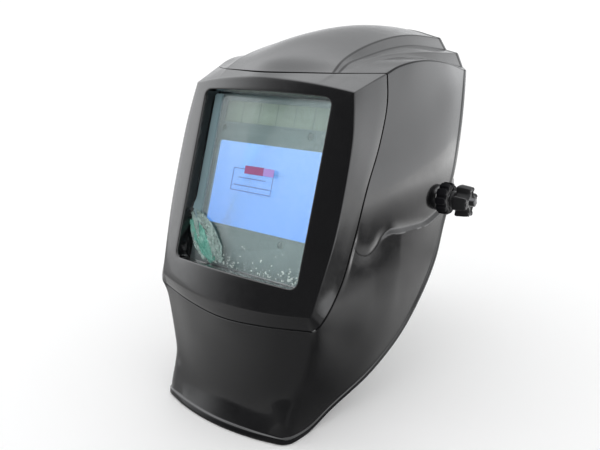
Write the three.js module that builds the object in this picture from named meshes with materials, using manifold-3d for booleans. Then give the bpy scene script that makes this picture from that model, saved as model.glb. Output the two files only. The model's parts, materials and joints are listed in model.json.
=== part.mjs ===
// Auto-darkening welding helmet: shell, window stack, filter cartridge and ratchet headgear.
// Millimetres. +X is the wearer's left, -Y is the way the wearer looks, +Z is up.
// Points are written from the centre of the window; the finished group stands on z = 0.
import * as THREE from 'three';
import { mergeVertices } from 'three/addons/utils/BufferGeometryUtils.js';
import Module from 'manifold-3d';

const wasm = await Module();
wasm.setup();

// ---------------------------------------------------------------- driving dimensions
const GAP = 0.3; // clearance between pieces that rest on each other
const SHELL_THICKNESS = 2.6;
const CHIN_Z = -168; // the flat underside of the chin rim
const SEAM = 1; // gap between the shell and the front frame

const WINDOW_TILT = THREE.MathUtils.degToRad(17.9); // the window leans back at the top
const WINDOW = { half: 56.6, top: 63.3, bottom: -63.3, corner: 6 };
const FACE_BULGE = 9.9; // the frame's face stands this far forward at its centre line
const FACE_HALF = 75;
const LENS_SEAT = 5.5; // depth of the lens ledge behind the face's side edges
const POCKET = { half: 58.8, top: 67.1, wall: 2, depth: 28.5 };

const PIVOT = { y: 96, z: -14 };
const SEAT = { inner: 92.2, outer: 99, radius: 10, bore: 3.6 };
const BOLT_RADIUS = 3;
const FORE_AFT = 10; // travel of the headband on its side arms

const BAND = { half: 72, length: 86, centre: 150, front: 28, rear: -53, height: 24, thickness: 1.8 };
const RATCHET = { y: 239, z: -53, pitch: 7, teeth: 10 };

// ---------------------------------------------------------------- materials
const finish = (color, roughness, metalness = 0) =>
  new THREE.MeshStandardMaterial({ color, roughness, metalness });
const glossBlack = finish(0x17171a, 0.12);
const satinBlack = finish(0x222226, 0.45);
const greyPlastic = finish(0x3a3b3f, 0.5);
const clearPlastic = new THREE.MeshStandardMaterial({
  color: 0xe8f0f0, roughness: 0.05, metalness: 0, transparent: true, opacity: 0.25 });
const greenFilm = finish(0x67a099, 0.3);
const filterBlue = finish(0x5f83d8, 0.1);
const solarDark = finish(0x8a9f9c, 0.3);
const boardGreen = finish(0x1f5a3a, 0.6);
const steel = finish(0x9b9da1, 0.3, 1);
const boltBlack = finish(0x202022, 0.35, 1);
const foam = finish(0x2b2b2e, 0.95);
const knobRed = finish(0x8f2a24, 0.45);

// ---------------------------------------------------------------- solids from points
function solid(positions, triangles) {
  const point = (i) => new THREE.Vector3(...positions[i]);
  let volume = 0;
  for (const [a, b, c] of triangles) volume += point(a).dot(point(b).cross(point(c)));
  const order = volume < 0 ? triangles.map(([a, b, c]) => [a, c, b]) : triangles;
  const geometry = new THREE.BufferGeometry();
  geometry.setAttribute('position', new THREE.Float32BufferAttribute(positions.flat(), 3));
  geometry.setIndex(order.flat());
  return geometry;
}

// A ring of closed sections, joined round into one body.
function ringSolid(sections) {
  const count = sections.length;
  const size = sections[0].length;
  const triangles = [];
  for (let i = 0; i < count; i++) {
    const next = (i + 1) % count;
    for (let j = 0; j < size; j++) {
      const k = (j + 1) % size;
      const [a, b, c, d] = [i * size + j, next * size + j, next * size + k, i * size + k];
      triangles.push([a, b, c], [a, c, d]);
    }
  }
  return solid(sections.flat().map((p) => p.toArray()), triangles);
}

// An open run of closed sections with a flat cap at each end.
function runSolid(sections) {
  const size = sections[0].length;
  const last = (sections.length - 1) * size;
  const triangles = [];
  for (let i = 0; i < sections.length - 1; i++) {
    for (let j = 0; j < size; j++) {
      const k = (j + 1) % size;
      const [a, b] = [i * size + j, (i + 1) * size + j];
      const [c, d] = [(i + 1) * size + k, i * size + k];
      triangles.push([a, b, c], [a, c, d]);
    }
  }
  for (let j = 1; j < size - 1; j++) triangles.push([0, j, j + 1], [last, last + j + 1, last + j]);
  return solid(sections.flat().map((p) => p.toArray()), triangles);
}

// A flat strip on edge: it follows a path, `thickness` across it and `height` along `up`.
function ribbon(path, thickness, height, up = new THREE.Vector3(0, 0, 1)) {
  return runSolid(path.map((point, i) => {
    const ahead = path[Math.min(i + 1, path.length - 1)];
    const behind = path[Math.max(i - 1, 0)];
    const side = ahead.clone().sub(behind).cross(up).normalize().multiplyScalar(thickness / 2);
    const rise = up.clone().multiplyScalar(height / 2);
    return [
      point.clone().add(side).add(rise),
      point.clone().sub(side).add(rise),
      point.clone().sub(side).sub(rise),
      point.clone().add(side).sub(rise),
    ];
  }));
}

// ---------------------------------------------------------------- joining and cutting
function manifoldOf(geometry) {
  const bare = geometry.clone();
  bare.deleteAttribute('normal');
  bare.deleteAttribute('uv');
  const merged = mergeVertices(bare, 1e-4);
  return new wasm.Manifold(new wasm.Mesh({
    numProp: 3,
    vertProperties: new Float32Array(merged.attributes.position.array),
    triVerts: new Uint32Array(merged.index.array),
  }));
}

function geometryOf(manifold) {
  const mesh = manifold.getMesh();
  const geometry = new THREE.BufferGeometry();
  geometry.setAttribute('position', new THREE.BufferAttribute(mesh.vertProperties, 3));
  geometry.setIndex(new THREE.BufferAttribute(mesh.triVerts, 1));
  return geometry;
}

const join = (base, ...extras) =>
  geometryOf(extras.reduce((sum, extra) => sum.add(manifoldOf(extra)), manifoldOf(base)));
const cut = (base, ...tools) =>
  geometryOf(tools.reduce((rest, tool) => rest.subtract(manifoldOf(tool)), manifoldOf(base)));

// ---------------------------------------------------------------- plain shapes
const SIDES = [['left', 1], ['right', -1]];
const span = (side, a, b) => [side * a, side * b].sort((p, q) => p - q);

const box = (x0, x1, y0, y1, z0, z1) =>
  new THREE.BoxGeometry(x1 - x0, y1 - y0, z1 - z0)
    .translate((x0 + x1) / 2, (y0 + y1) / 2, (z0 + z1) / 2);

// Cylinders along the wearer's left-right axis and along the front-back axis.
const pinX = (radius, x0, x1, y, z, sides = 20) =>
  new THREE.CylinderGeometry(radius, radius, x1 - x0, sides)
    .rotateZ(Math.PI / 2).translate((x0 + x1) / 2, y, z);
const pinY = (radius, y0, y1, x, z, sides = 20) =>
  new THREE.CylinderGeometry(radius, radius, y1 - y0, sides).translate(x, (y0 + y1) / 2, z);
const pinZ = (radius, z0, z1, x, y, sides = 16) =>
  new THREE.CylinderGeometry(radius, radius, z1 - z0, sides)
    .rotateX(Math.PI / 2).translate(x, y, (z0 + z1) / 2);

// A rounded rectangle drawn on x and z.
function roundedRectangle(half, top, bottom, corner, Kind = THREE.Shape) {
  const shape = new Kind();
  shape.moveTo(-half + corner, bottom);
  shape.lineTo(half - corner, bottom);
  shape.absarc(half - corner, bottom + corner, corner, -Math.PI / 2, 0);
  shape.lineTo(half, top - corner);
  shape.absarc(half - corner, top - corner, corner, 0, Math.PI / 2);
  shape.lineTo(-half + corner, top);
  shape.absarc(-half + corner, top - corner, corner, Math.PI / 2, Math.PI);
  shape.lineTo(-half, bottom + corner);
  shape.absarc(-half + corner, bottom + corner, corner, Math.PI, Math.PI * 1.5);
  shape.closePath();
  return shape;
}

const rectangleHole = (half, top, bottom, corner) =>
  roundedRectangle(half, top, bottom, corner, THREE.Path);

function circle(x, y, radius, Kind = THREE.Path, sides = 16) {
  const points = Array.from({ length: sides }, (_, i) => {
    const angle = (i / sides) * Math.PI * 2;
    return new THREE.Vector2(x + radius * Math.cos(angle), y + radius * Math.sin(angle));
  });
  return new Kind(points);
}

// A plate whose outline is drawn on x and z and which fills depths y0 to y1.
const plate = (shape, y0, y1, curveSegments = 2) =>
  new THREE.ExtrudeGeometry(shape, { depth: y1 - y0, bevelEnabled: false, curveSegments })
    .rotateX(Math.PI / 2).translate(0, y1, 0);

// A round knob outline with smooth lobes.
function lobedShape(radius, depth, lobes, steps) {
  const points = [];
  for (let i = 0; i < lobes * steps; i++) {
    const angle = (i / (lobes * steps)) * Math.PI * 2;
    const reach = radius - depth * (0.5 - 0.5 * Math.cos(angle * lobes));
    points.push(new THREE.Vector2(reach * Math.cos(angle), reach * Math.sin(angle)));
  }
  return new THREE.Shape(points);
}

// ---------------------------------------------------------------- shell surface
// Each guide runs from the front frame's seam back to the free edge. Guides follow one another
// from the crown's centre line down the left side to the chin's centre line.
const guide = (points, crease = false) => ({
  curve: new THREE.CatmullRomCurve3(points.map((p) => new THREE.Vector3(...p)), false, 'centripetal'),
  crease,
});
const GUIDES = [
  guide([[0, 16, 76], [0, 25, 85], [0, 48, 95.5], [0, 84, 103], [0, 130, 107.5], [0, 178, 107],
    [0, 214, 104]]),
  guide([[48, 28.6, 76], [46.5, 42, 83.3], [44.5, 69, 91.2], [42, 112, 98], [40, 151, 100],
    [38, 207, 97]], true),
  guide([[51, 31, 76], [50.5, 43, 81.5], [50, 63, 84.8], [48, 102, 89.8], [46, 140, 91.6],
    [42, 212, 87]], true),
  guide([[56, 34, 76], [56, 56, 82.6], [57, 84, 86], [59, 107, 86.8], [60.5, 140, 87], [60, 196, 85]], true),
  guide([[60, 36.6, 76], [60, 58, 82], [62, 86, 84.6], [65, 112, 84.2], [67, 145, 80.5],
    [66, 194, 74]], true),
  guide([[77, 50, 76], [79, 61, 80], [82, 76, 82.7], [84, 94, 83.2], [85.5, 122, 80.4],
    [84.5, 159, 73]], true),
  guide([[78.3, 49.5, 61], [83.5, 75, 60], [87.5, 100, 58], [90.5, 123, 57], [91.3, 144, 56]]),
  guide([[80, 38.6, 31], [86, 64, 30], [91.3, 88, 29], [94.6, 110, 29], [96, 131, 29]]),
  guide([[82, 22, 6], [88.3, 48, 2], [92.8, 73, 0], [96.2, 97, 0], [97.6, 121, 2]]),
  guide([[82, 4, -34], [86, 26, -35], [89.6, 50, -36], [92.6, 76, -37], [95, 107, -36]]),
  guide([[80.5, -6, -57], [85, 16, -58], [89.2, 45, -60], [93, 73, -61], [96, 95, -62]]),
  guide([[77.2, -20, -77], [80.5, 4, -82], [84.5, 25, -93], [87.5, 48, -102], [88.5, 70, -110]]),
  guide([[75.4, -22.3, -80.8], [76.5, 0, -95], [78.5, 17, -110], [79.5, 30, -124], [78, 42, -138]]),
  guide([[73.3, -23.4, -83], [71.5, -11, -112], [70.5, -3, -133], [66, 3, -158]]),
  guide([[71, -23.5, -84.5], [69.4, -17, -112], [66, -15, -133], [62.8, -15, -152], [61, -15, CHIN_Z]]),
  guide([[69, -23.2, -85.2], [67.6, -22.2, -105], [63.2, -24, -125], [59.4, -26.8, -136],
    [57.6, -31.6, -146],
    [58.2, -35.2, -157], [59.5, -36.5, CHIN_Z]], true),
  guide([[36, -31, -88], [35, -30.5, -110], [33, -31.5, -132], [32, -36, -152], [32, -44, CHIN_Z]]),
  guide([[0, -34.5, -90], [0, -33, -110], [0, -33.8, -131], [0, -38, -151], [0, -47, CHIN_Z]]),
];
const TOP_CORNER = 5; // the guide at the frame's upper corner
const SIDE_STEPS = [5, 1, 1, 1, 3, 3, 3, 3, 6, 4, 3, 2, 2, 2, 2, 3, 3]; // facets between guides
const RUN_STEPS = 11; // facets from seam to free edge

// The side panel ends in a crisp line, given as depth and height: it runs down behind the seam and
// back along the jaw. In front the panel stands proud of it, and behind, the jaw does.
const PANEL_EDGE = new THREE.SplineCurve([[14, 26], [9.5, 8], [7.4, -3.5], [6.7, -13.3], [7, -21.3],
  [7.9, -30.3], [11.4, -37.2], [20, -40.7], [28.4, -37.1], [34, -31.5], [40.2, -28.6], [48, -29.3],
  [57.3, -30.1], [70, -30.6], [82.3, -30.4], [97.6, -26], [116, -18]].map((p) => new THREE.Vector2(...p)))
  .getPoints(64);
const JAW_STEP = 3.2;
const PANEL_STEP = 2;

function smoothstep(low, high, value) {
  return low < high
    ? THREE.MathUtils.smoothstep(value, low, high)
    : 1 - THREE.MathUtils.smoothstep(value, high, low);
}

// How far a point on depth and height lies above and behind the panel's edge.
function insidePanel(point) {
  let nearest = Infinity;
  let inside = 0;
  for (let i = 1; i < PANEL_EDGE.length; i++) {
    const [a, b] = [PANEL_EDGE[i - 1], PANEL_EDGE[i]];
    const step = b.clone().sub(a);
    const from = point.clone().sub(a);
    const share = THREE.MathUtils.clamp(from.dot(step) / step.lengthSq(), 0, 1);
    const distance = from.distanceTo(step.clone().multiplyScalar(share));
    if (distance >= nearest) continue;
    nearest = distance;
    inside = distance * Math.sign(step.cross(from));
  }
  return inside;
}

function sideSwell({ y, z }, run) {
  const inside = insidePanel(new THREE.Vector2(y, z));
  const within = (reach) => THREE.MathUtils.clamp(1 - inside / reach, 0, 1) ** 2;
  const shoulder = inside > 0 ? within(9) : within(-22);
  const jaw = (0.3 * within(9) + 0.7 * smoothstep(0.8, -1.2, inside)) * smoothstep(-75, -10, inside);
  const behind = smoothstep(26, 50, y);
  const lower = smoothstep(24, -8, z);
  return lower * (JAW_STEP * jaw * behind - PANEL_STEP * shoulder * (1 - behind) * smoothstep(0, 0.05, run));
}

// One row of guide points at the same share of each guide, mirrored past both centre lines.
function guideRow(run) {
  const row = GUIDES.map((g) => g.curve.getPointAt(run));
  const mirrored = (p) => new THREE.Vector3(-p.x, p.y, p.z);
  return { row, before: mirrored(row[1]), after: mirrored(row[row.length - 2]) };
}

function slopeAt({ row, before, after }, index, side) {
  const here = row[index];
  const previous = index > 0 ? row[index - 1] : before;
  const next = index < row.length - 1 ? row[index + 1] : after;
  const back = here.clone().sub(previous);
  const forth = next.clone().sub(here);
  if (GUIDES[index].crease) return side > 0 ? forth.normalize() : back.normalize();
  const [b, f] = [back.length(), forth.length()];
  return back.multiplyScalar(f / b).add(forth.multiplyScalar(b / f)).divideScalar(b + f);
}

function shellHalfRow(run) {
  const guides = guideRow(run);
  const points = [];
  SIDE_STEPS.forEach((steps, index) => {
    const [start, end] = [guides.row[index], guides.row[index + 1]];
    const span = start.distanceTo(end);
    const [leave, arrive] = [slopeAt(guides, index, 1), slopeAt(guides, index + 1, -1)];
    for (let i = 0; i < steps; i++) {
      const t = i / steps;
      const [t2, t3] = [t * t, t * t * t];
      points.push(start.clone().multiplyScalar(2 * t3 - 3 * t2 + 1)
        .addScaledVector(leave, (t3 - 2 * t2 + t) * span)
        .addScaledVector(end, 3 * t2 - 2 * t3)
        .addScaledVector(arrive, (t3 - t2) * span));
    }
  });
  points.push(guides.row[guides.row.length - 1]);
  for (const point of points) {
    if (point.x > 30) point.x += sideSwell(point, run);
    point.z = Math.max(point.z, CHIN_Z);
  }
  return points;
}

function shellRow(run) {
  const half = shellHalfRow(run);
  const other = half.slice(1, -1).reverse().map((p) => new THREE.Vector3(-p.x, p.y, p.z));
  return [...half, ...other];
}

const rows = Array.from({ length: RUN_STEPS + 1 }, (_, i) => shellRow(i / RUN_STEPS));
const around = rows[0].length;

function outwardNormal(i, j) {
  const along = rows[Math.min(j + 1, RUN_STEPS)][i].clone().sub(rows[Math.max(j - 1, 0)][i]);
  const across = rows[j][(i + 1) % around].clone().sub(rows[j][(i + around - 1) % around]);
  return across.cross(along).normalize();
}

const innerRows = rows.map((row, j) => row.map((point, i) => {
  const inner = point.clone().addScaledVector(outwardNormal(i, j), -SHELL_THICKNESS);
  if (j === RUN_STEPS && point.z < CHIN_Z + 0.01) inner.z = CHIN_Z;
  return inner;
}));

function shellGeometry() {
  const sections = Array.from({ length: around }, (_, i) => [
    ...rows.map((row) => row[i]),
    ...innerRows.map((row) => row[i]).reverse(),
  ]);
  const seats = [1, -1].map((side) =>
    pinX(SEAT.radius, ...span(side, SEAT.inner, SEAT.outer), PIVOT.y, PIVOT.z, 36));
  const bore = pinX(SEAT.bore, -110, 110, PIVOT.y, PIVOT.z);
  return cut(join(ringSolid(sections), ...seats), bore);
}

// ---------------------------------------------------------------- front frame
const faceNormal = new THREE.Vector3(0, -Math.cos(WINDOW_TILT), Math.sin(WINDOW_TILT));
const faceUp = new THREE.Vector3(0, Math.sin(WINDOW_TILT), Math.cos(WINDOW_TILT));

// A point on the window's tilted frame: across, up the face, and behind it.
const onFace = (across, up, depth) =>
  new THREE.Vector3(across, 0, 0).addScaledVector(faceUp, up).addScaledVector(faceNormal, -depth);
const bulgeAt = (across) => FACE_BULGE * (1 - (across / FACE_HALF) ** 2);

// The outer edge of the frame's face, as x and height up the face, from top centre to bottom centre.
const FACE_EDGE = {
  top: (t) => [70.8 * t, 72.9 - 4.6 * t * t],
  side: new THREE.SplineCurve([
    [70.8, 68.3], [73.4, 55], [76, 36], [77, 5], [76.5, -25], [74, -51], [70, -79],
  ].map((p) => new THREE.Vector2(...p))),
  bottom: (t) => [70 * (1 - t), -85.6 + 6.6 * (1 - t) ** 2],
};

// Runs of seam points that belong to the face's top, side and bottom edges.
const topCount = SIDE_STEPS.slice(0, TOP_CORNER).reduce((a, b) => a + b, 0);
const bottomGuides = 2;
const halfCount = SIDE_STEPS.reduce((a, b) => a + b, 0);
const sideEnd = halfCount - SIDE_STEPS.slice(-bottomGuides).reduce((a, b) => a + b, 0) - 3;

function frameStation(i) {
  const mirror = i > halfCount;
  const index = mirror ? around - i : i;
  const seam = rows[0][index].clone();
  const seamInner = innerRows[0][index].clone();
  let edge;
  if (index <= topCount) edge = FACE_EDGE.top(seam.x / rows[0][topCount].x);
  else if (index < sideEnd) {
    const [high, low] = [rows[0][topCount].z, rows[0][sideEnd].z];
    edge = FACE_EDGE.side.getPoint((high - seam.z) / (high - low)).toArray();
  } else edge = FACE_EDGE.bottom(1 - seam.x / rows[0][sideEnd].x);
  const [x, up] = edge;
  const shrink = (half, top, bottom, corner) => nearestOnRectangle(x, up, half, top, bottom, corner);
  const [wx, wu] = shrink(WINDOW.half, WINDOW.top, WINDOW.bottom, WINDOW.corner);
  const [px, pu] = shrink(POCKET.half, POCKET.top, -POCKET.top, 3);
  const [qx, qu] = shrink(POCKET.half + POCKET.wall, POCKET.top + POCKET.wall, -POCKET.top - POCKET.wall, 4);
  const faceEdge = onFace(x, up, -bulgeAt(x));
  const away = faceEdge.clone().sub(seam).normalize().multiplyScalar(SEAM);
  const plateDepth = 3;
  const inwards = 0.96;
  const points = [
    onFace(wx, wu, -bulgeAt(wx)),
    faceEdge,
    seam.clone().add(away),
    seamInner.clone().add(away),
    onFace(x * inwards, up * inwards, plateDepth - bulgeAt(x)),
    onFace(qx, qu, plateDepth - bulgeAt(qx) * (Math.abs(pu) > WINDOW.top ? 1 : 0.9)),
    onFace(qx, qu, POCKET.depth),
    onFace(px, pu, POCKET.depth),
    onFace(px, pu, LENS_SEAT),
    onFace(wx, wu, LENS_SEAT),
  ];
  if (mirror) for (const point of points) point.x *= -1;
  return points;
}

// Where a ray from the window's centre leaves a rounded rectangle.
function nearestOnRectangle(x, up, half, top, bottom, corner) {
  const limit = up > 0 ? top : -bottom;
  const scale = Math.min(half / Math.max(Math.abs(x), 1e-6), limit / Math.max(Math.abs(up), 1e-6));
  let [px, pu] = [x * scale, up * scale];
  const [cx, cu] = [half - corner, limit - corner];
  const [ox, ou] = [Math.abs(px) - cx, Math.abs(pu) - cu];
  if (ox > 0 && ou > 0) {
    const reach = Math.hypot(ox, ou);
    px = Math.sign(px) * (cx + (ox / reach) * corner);
    pu = Math.sign(pu) * (cu + (ou / reach) * corner);
  }
  return [px, pu];
}

// ---------------------------------------------------------------- assembly helpers
const helmet = new THREE.Group();
const windowStack = new THREE.Group(); // x across, y behind the face, z up the face
windowStack.rotation.x = -WINDOW_TILT;
helmet.add(windowStack);

function place(group, name, geometry, material) {
  const mesh = new THREE.Mesh(geometry, material);
  mesh.name = name;
  group.add(mesh);
}

// ---------------------------------------------------------------- shell and frame
place(helmet, 'shell', shellGeometry(), glossBlack);

const LATCH = { from: 55.4, to: 60.2, half: 7, front: 25.4, back: 27.2 };
{
  const ring = ringSolid(Array.from({ length: around }, (_, i) => frameStation(i)));
  const reach = POCKET.half + POCKET.wall + 1;
  const slot = box(-reach, reach, LATCH.front - GAP, LATCH.back + GAP, -LATCH.half - GAP, LATCH.half + GAP)
    .rotateX(-WINDOW_TILT);
  place(helmet, 'front_frame', cut(ring, slot), glossBlack);
}

// ---------------------------------------------------------------- lens and filter cartridge
const LENS = { half: 58.3, top: 66.6, front: 5.8, back: 7.1 };
place(windowStack, 'cover_lens',
  plate(roundedRectangle(LENS.half, LENS.top, -LENS.top, 3), LENS.front, LENS.back), clearPlastic);
place(windowStack, 'lens_film',
  plate(roundedRectangle(55.6, 62.3, -62.3, 5), LENS.front - 0.5, LENS.front - 0.3), clearPlastic);
{
  const tab = new THREE.Shape([[-52, -25], [-49, -27], [-35.5, -59], [-43, -55], [-54.5, -38]]
    .map((p) => new THREE.Vector2(...p)));
  place(windowStack, 'film_pull_tab', plate(tab, LENS.front - 2.2, LENS.front - 0.8), greenFilm);
}

const CARTRIDGE = { half: 57.5, top: 66, wall: 1.6, front: 12, split: 17.5, back: 22 };
const LCD = { half: 49.3, top: 29.2, bottom: -33.2 };
const STRIP = { half: 49.3, top: 59.4, bottom: 43.4 };
const SENSORS = [[-47, 38.8], [34, 38.8], [25.6, -38.6], [-38, -38.6]];
const KNOBS = {
  shade_knob: { x: 0, up: 50, radius: 10, lobes: 9 },
  sensitivity_knob: { x: 31, up: 50, radius: 6, lobes: 6 },
  delay_knob: { x: -31, up: 50, radius: 6, lobes: 6 },
};
const BUTTON = { x: 0, up: -50, half: 4 };
const CELL = { x: 36, up: -50, radius: 11 };
{
  const outline = () => roundedRectangle(CARTRIDGE.half, CARTRIDGE.top, -CARTRIDGE.top, 3);
  const inside = () => rectangleHole(CARTRIDGE.half - CARTRIDGE.wall, CARTRIDGE.top - CARTRIDGE.wall,
    CARTRIDGE.wall - CARTRIDGE.top, 2);
  const wallRing = outline();
  wallRing.holes.push(inside());

  const front = outline();
  front.holes.push(rectangleHole(LCD.half, LCD.top, LCD.bottom, 1.5));
  front.holes.push(rectangleHole(STRIP.half, STRIP.top, STRIP.bottom, 1));
  for (const [x, up] of SENSORS) front.holes.push(circle(x, up, 2.8));
  place(windowStack, 'adf_front_housing',
    join(plate(front, CARTRIDGE.front, CARTRIDGE.front + 1.6),
      plate(wallRing, CARTRIDGE.front + 0.8, CARTRIDGE.split - GAP)), satinBlack);

  const rear = outline();
  rear.holes.push(rectangleHole(LCD.half, LCD.top, LCD.bottom, 1.5));
  for (const knob of Object.values(KNOBS)) rear.holes.push(circle(knob.x, knob.up, 2.6));
  for (const [, side] of SIDES) rear.holes.push(circle(side * CELL.x, CELL.up, CELL.radius + 0.6));
  rear.holes.push(rectangleHole(BUTTON.half + GAP, BUTTON.up + BUTTON.half + GAP,
    BUTTON.up - BUTTON.half - GAP, 0.8));
  place(windowStack, 'adf_rear_housing',
    join(plate(rear, CARTRIDGE.back - 1.8, CARTRIDGE.back),
      plate(wallRing, CARTRIDGE.split, CARTRIDGE.back - 0.9)), satinBlack);

  place(windowStack, 'lcd_filter_glass',
    plate(roundedRectangle(LCD.half + 2.4, LCD.top + 2.4, LCD.bottom - 2.4, 1), 13.9, 19.6), filterBlue);
  place(windowStack, 'solar_cell',
    plate(roundedRectangle(STRIP.half + 1.5, STRIP.top + 1.5, STRIP.bottom - 1.5, 1), 13.9, 15.4),
    solarDark);
  SENSORS.forEach(([x, up], i) =>
    place(windowStack, `arc_sensor_${i + 1}`, pinY(2.4, 12.4, 15.5, x, up, 12), satinBlack));

  const board = roundedRectangle(55, 63.5, -63.5, 2);
  board.holes.push(rectangleHole(LCD.half + 3, LCD.top + 3, LCD.bottom - 3, 1));
  place(windowStack, 'circuit_board', plate(board, 15.9, 17.1), boardGreen);
}
place(windowStack, 'inner_cover_lens',
  plate(roundedRectangle(53.5, 33, -37, 3), CARTRIDGE.back + GAP, CARTRIDGE.back + 1.4), clearPlastic);
for (const [name, { x, up, radius, lobes }] of Object.entries(KNOBS)) {
  const head = plate(lobedShape(radius, radius * 0.12, lobes, 4), CARTRIDGE.back + GAP, CARTRIDGE.back + 5.5)
    .translate(x, 0, up);
  const shaft = pinY(2.2, 18, CARTRIDGE.back + 2, x, up, 16);
  place(windowStack, name, join(head, shaft), greyPlastic);
}
place(windowStack, 'test_button',
  plate(roundedRectangle(BUTTON.half, BUTTON.up + BUTTON.half, BUTTON.up - BUTTON.half, 0.8),
    19.2, CARTRIDGE.back + 1.6), knobRed);
for (const [label, side] of SIDES) {
  const x = side * CELL.x;
  place(windowStack, `battery_${label}`, pinY(CELL.radius - 0.6, 17.5, 20.4, x, CELL.up, 32), steel);
  const cap = join(pinY(CELL.radius, 20.7, CARTRIDGE.back + 1.2, x, CELL.up, 32),
    box(x - 7, x + 7, CARTRIDGE.back + 1, CARTRIDGE.back + 2.8, CELL.up - 1.2, CELL.up + 1.2));
  place(windowStack, `battery_cap_${label}`, cap, greyPlastic);
}
[[51, 58], [-51, 58], [-51, -60.5], [51, -60.5]].forEach(([x, up], i) =>
  place(windowStack, `adf_screw_${i + 1}`,
    pinY(1.9, CARTRIDGE.back + GAP, CARTRIDGE.back + 1.6, x, up, 12), steel));
{
  const frame = roundedRectangle(POCKET.half - 0.7, POCKET.top - 0.7, 0.7 - POCKET.top, 3);
  frame.holes.push(rectangleHole(54, 62.8, -62.8, 3));
  place(windowStack, 'retaining_frame', plate(frame, CARTRIDGE.back + GAP, 25), satinBlack);
}
for (const [label, side] of SIDES) {
  const [x0, x1] = span(side, LATCH.from, LATCH.to);
  const thumb = span(side, LATCH.from, LATCH.from + 1.6);
  place(windowStack, `retaining_latch_${label}`,
    join(box(x0, x1, LATCH.front, LATCH.back, -LATCH.half, LATCH.half),
      box(...thumb, LATCH.front, LATCH.back + 3.4, -LATCH.half, LATCH.half)), greyPlastic);
}

// ---------------------------------------------------------------- headgear
const bandHeight = (y) =>
  THREE.MathUtils.mapLinear(y, BAND.centre - BAND.length, BAND.centre + BAND.length, BAND.front, BAND.rear);

// A plan ellipse round the head, `offset` outside the band's middle; turn 0 is the wearer's left side.
function bandPoint(turn, offset = 0) {
  const y = BAND.centre + (BAND.length + offset) * Math.sin(turn);
  return new THREE.Vector3((BAND.half + offset) * Math.cos(turn), y, bandHeight(y));
}

function bandPath(from, to, steps, offset) {
  return Array.from({ length: steps + 1 }, (_, i) => bandPoint(from + ((to - from) * i) / steps, offset));
}

const REAR_STRAP = { offset: 2, thickness: 1.6, height: 18 };
const RACK = { thickness: 1.5, height: 24, slotStart: -10, slotEnd: 26, slotHalf: 8.6, root: 8.4, tip: 6.5 };
const HOUSING = { half: 31, rise: 16, base: 1.8, back: 248 };
const CROWN = { top: 89.2, y: 124, thickness: 1.6, width: 18, overlap: 14, pin: 1.4 };
const TENSION = {
  collarRadius: 11.8, collarEnd: 107,
  hubRadius: 6.2, gripStart: 112, gripEnd: 122.6, gripRadius: 11.4,
  tip: 125.4, // the bolt's end, just outside the grip
};
const ARM = { thickness: 2.6, outer: 88.4, height: 22, front: 78 };
const RIVET_Y = 147;
const rivetHole = (side, radius) => pinX(radius, ...span(side, 60, 95), RIVET_Y, bandHeight(RIVET_Y), 16);

{
  const overlap = 0.35; // the front band runs this far, in radians, behind the side
  const band = ribbon(bandPath(overlap, -Math.PI - overlap, 44, 0), BAND.thickness, BAND.height);
  place(helmet, 'headband', cut(band, rivetHole(1, 2.3), rivetHole(-1, 2.3)), satinBlack);
  const padInset = -(BAND.thickness / 2 + 0.6 + 3);
  place(helmet, 'sweatband',
    ribbon(bandPath(-0.45, -Math.PI + 0.45, 28, padInset), 6, BAND.height + 4), foam);
}

for (const [label, side] of SIDES) {
  const mirrored = (p) => new THREE.Vector3(side * p.x, p.y, p.z);

  const tongueY = side > 0 ? RATCHET.y : RATCHET.y + RACK.thickness + GAP;
  const wrap = bandPath(-0.12, 0.72, 9, REAR_STRAP.offset);
  const tail = [
    [50.6, 218, -44.2], [45.5, 229, -49.2], [41, tongueY - 2.2, -52.2], [36, tongueY, RATCHET.z],
  ];
  const rearCurve = new THREE.CatmullRomCurve3([...wrap, ...tail.map((p) => new THREE.Vector3(...p))]);
  place(helmet, `rear_strap_${label}`,
    cut(ribbon(rearCurve.getPoints(30).map(mirrored), REAR_STRAP.thickness, REAR_STRAP.height),
      rivetHole(side, 2.3)), satinBlack);

  const topZ = side > 0 ? CROWN.top : CROWN.top - CROWN.thickness - 2 * GAP;
  const crown = [[67, 137, -14], [67, 136, 4], [64.5, 134, 34], [55, 131, 60], [34, 126, 80],
    [12, CROWN.y, topZ], [-CROWN.overlap, CROWN.y, topZ]].map((p) => new THREE.Vector3(...p));
  const crownPath = new THREE.CatmullRomCurve3(crown, false, 'centripetal').getPoints(22).map(mirrored);
  place(helmet, `crown_strap_${label}`,
    cut(ribbon(crownPath, CROWN.thickness, CROWN.width, new THREE.Vector3(0, 1, 0)),
      pinZ(CROWN.pin + GAP, 70, 100, 0, CROWN.y, 12)), satinBlack);

  const armCentre = ARM.outer - ARM.thickness / 2;
  const armPlan = [[armCentre, ARM.front], [armCentre, 92], [armCentre, 106], [83.4, 119], [78.4, 133],
    [76.6, 143], [76.3, 154]];
  const armCurve = new THREE.CatmullRomCurve3(
    armPlan.map(([x, y]) => new THREE.Vector3(x, y, PIVOT.z)), false, 'centripetal');
  const arm = ribbon(armCurve.getPoints(24).map(mirrored), ARM.thickness, ARM.height);
  const slotBox = box(...span(side, 80, 95), PIVOT.y - FORE_AFT, PIVOT.y,
    PIVOT.z - BOLT_RADIUS - GAP, PIVOT.z + BOLT_RADIUS + GAP);
  const slotEnds = [PIVOT.y - FORE_AFT, PIVOT.y].map((y) =>
    pinX(BOLT_RADIUS + GAP, ...span(side, 80, 95), y, PIVOT.z));
  place(helmet, `side_arm_${label}`, cut(arm, slotBox, ...slotEnds, rivetHole(side, 2.3)), satinBlack);

  const rivet = join(pinX(2, ...span(side, 69.8, 78.9), RIVET_Y, bandHeight(RIVET_Y), 16),
    pinX(4, ...span(side, 78.2, 79.7), RIVET_Y, bandHeight(RIVET_Y), 20));
  place(helmet, `arm_rivet_${label}`, rivet, steel);
}
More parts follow.
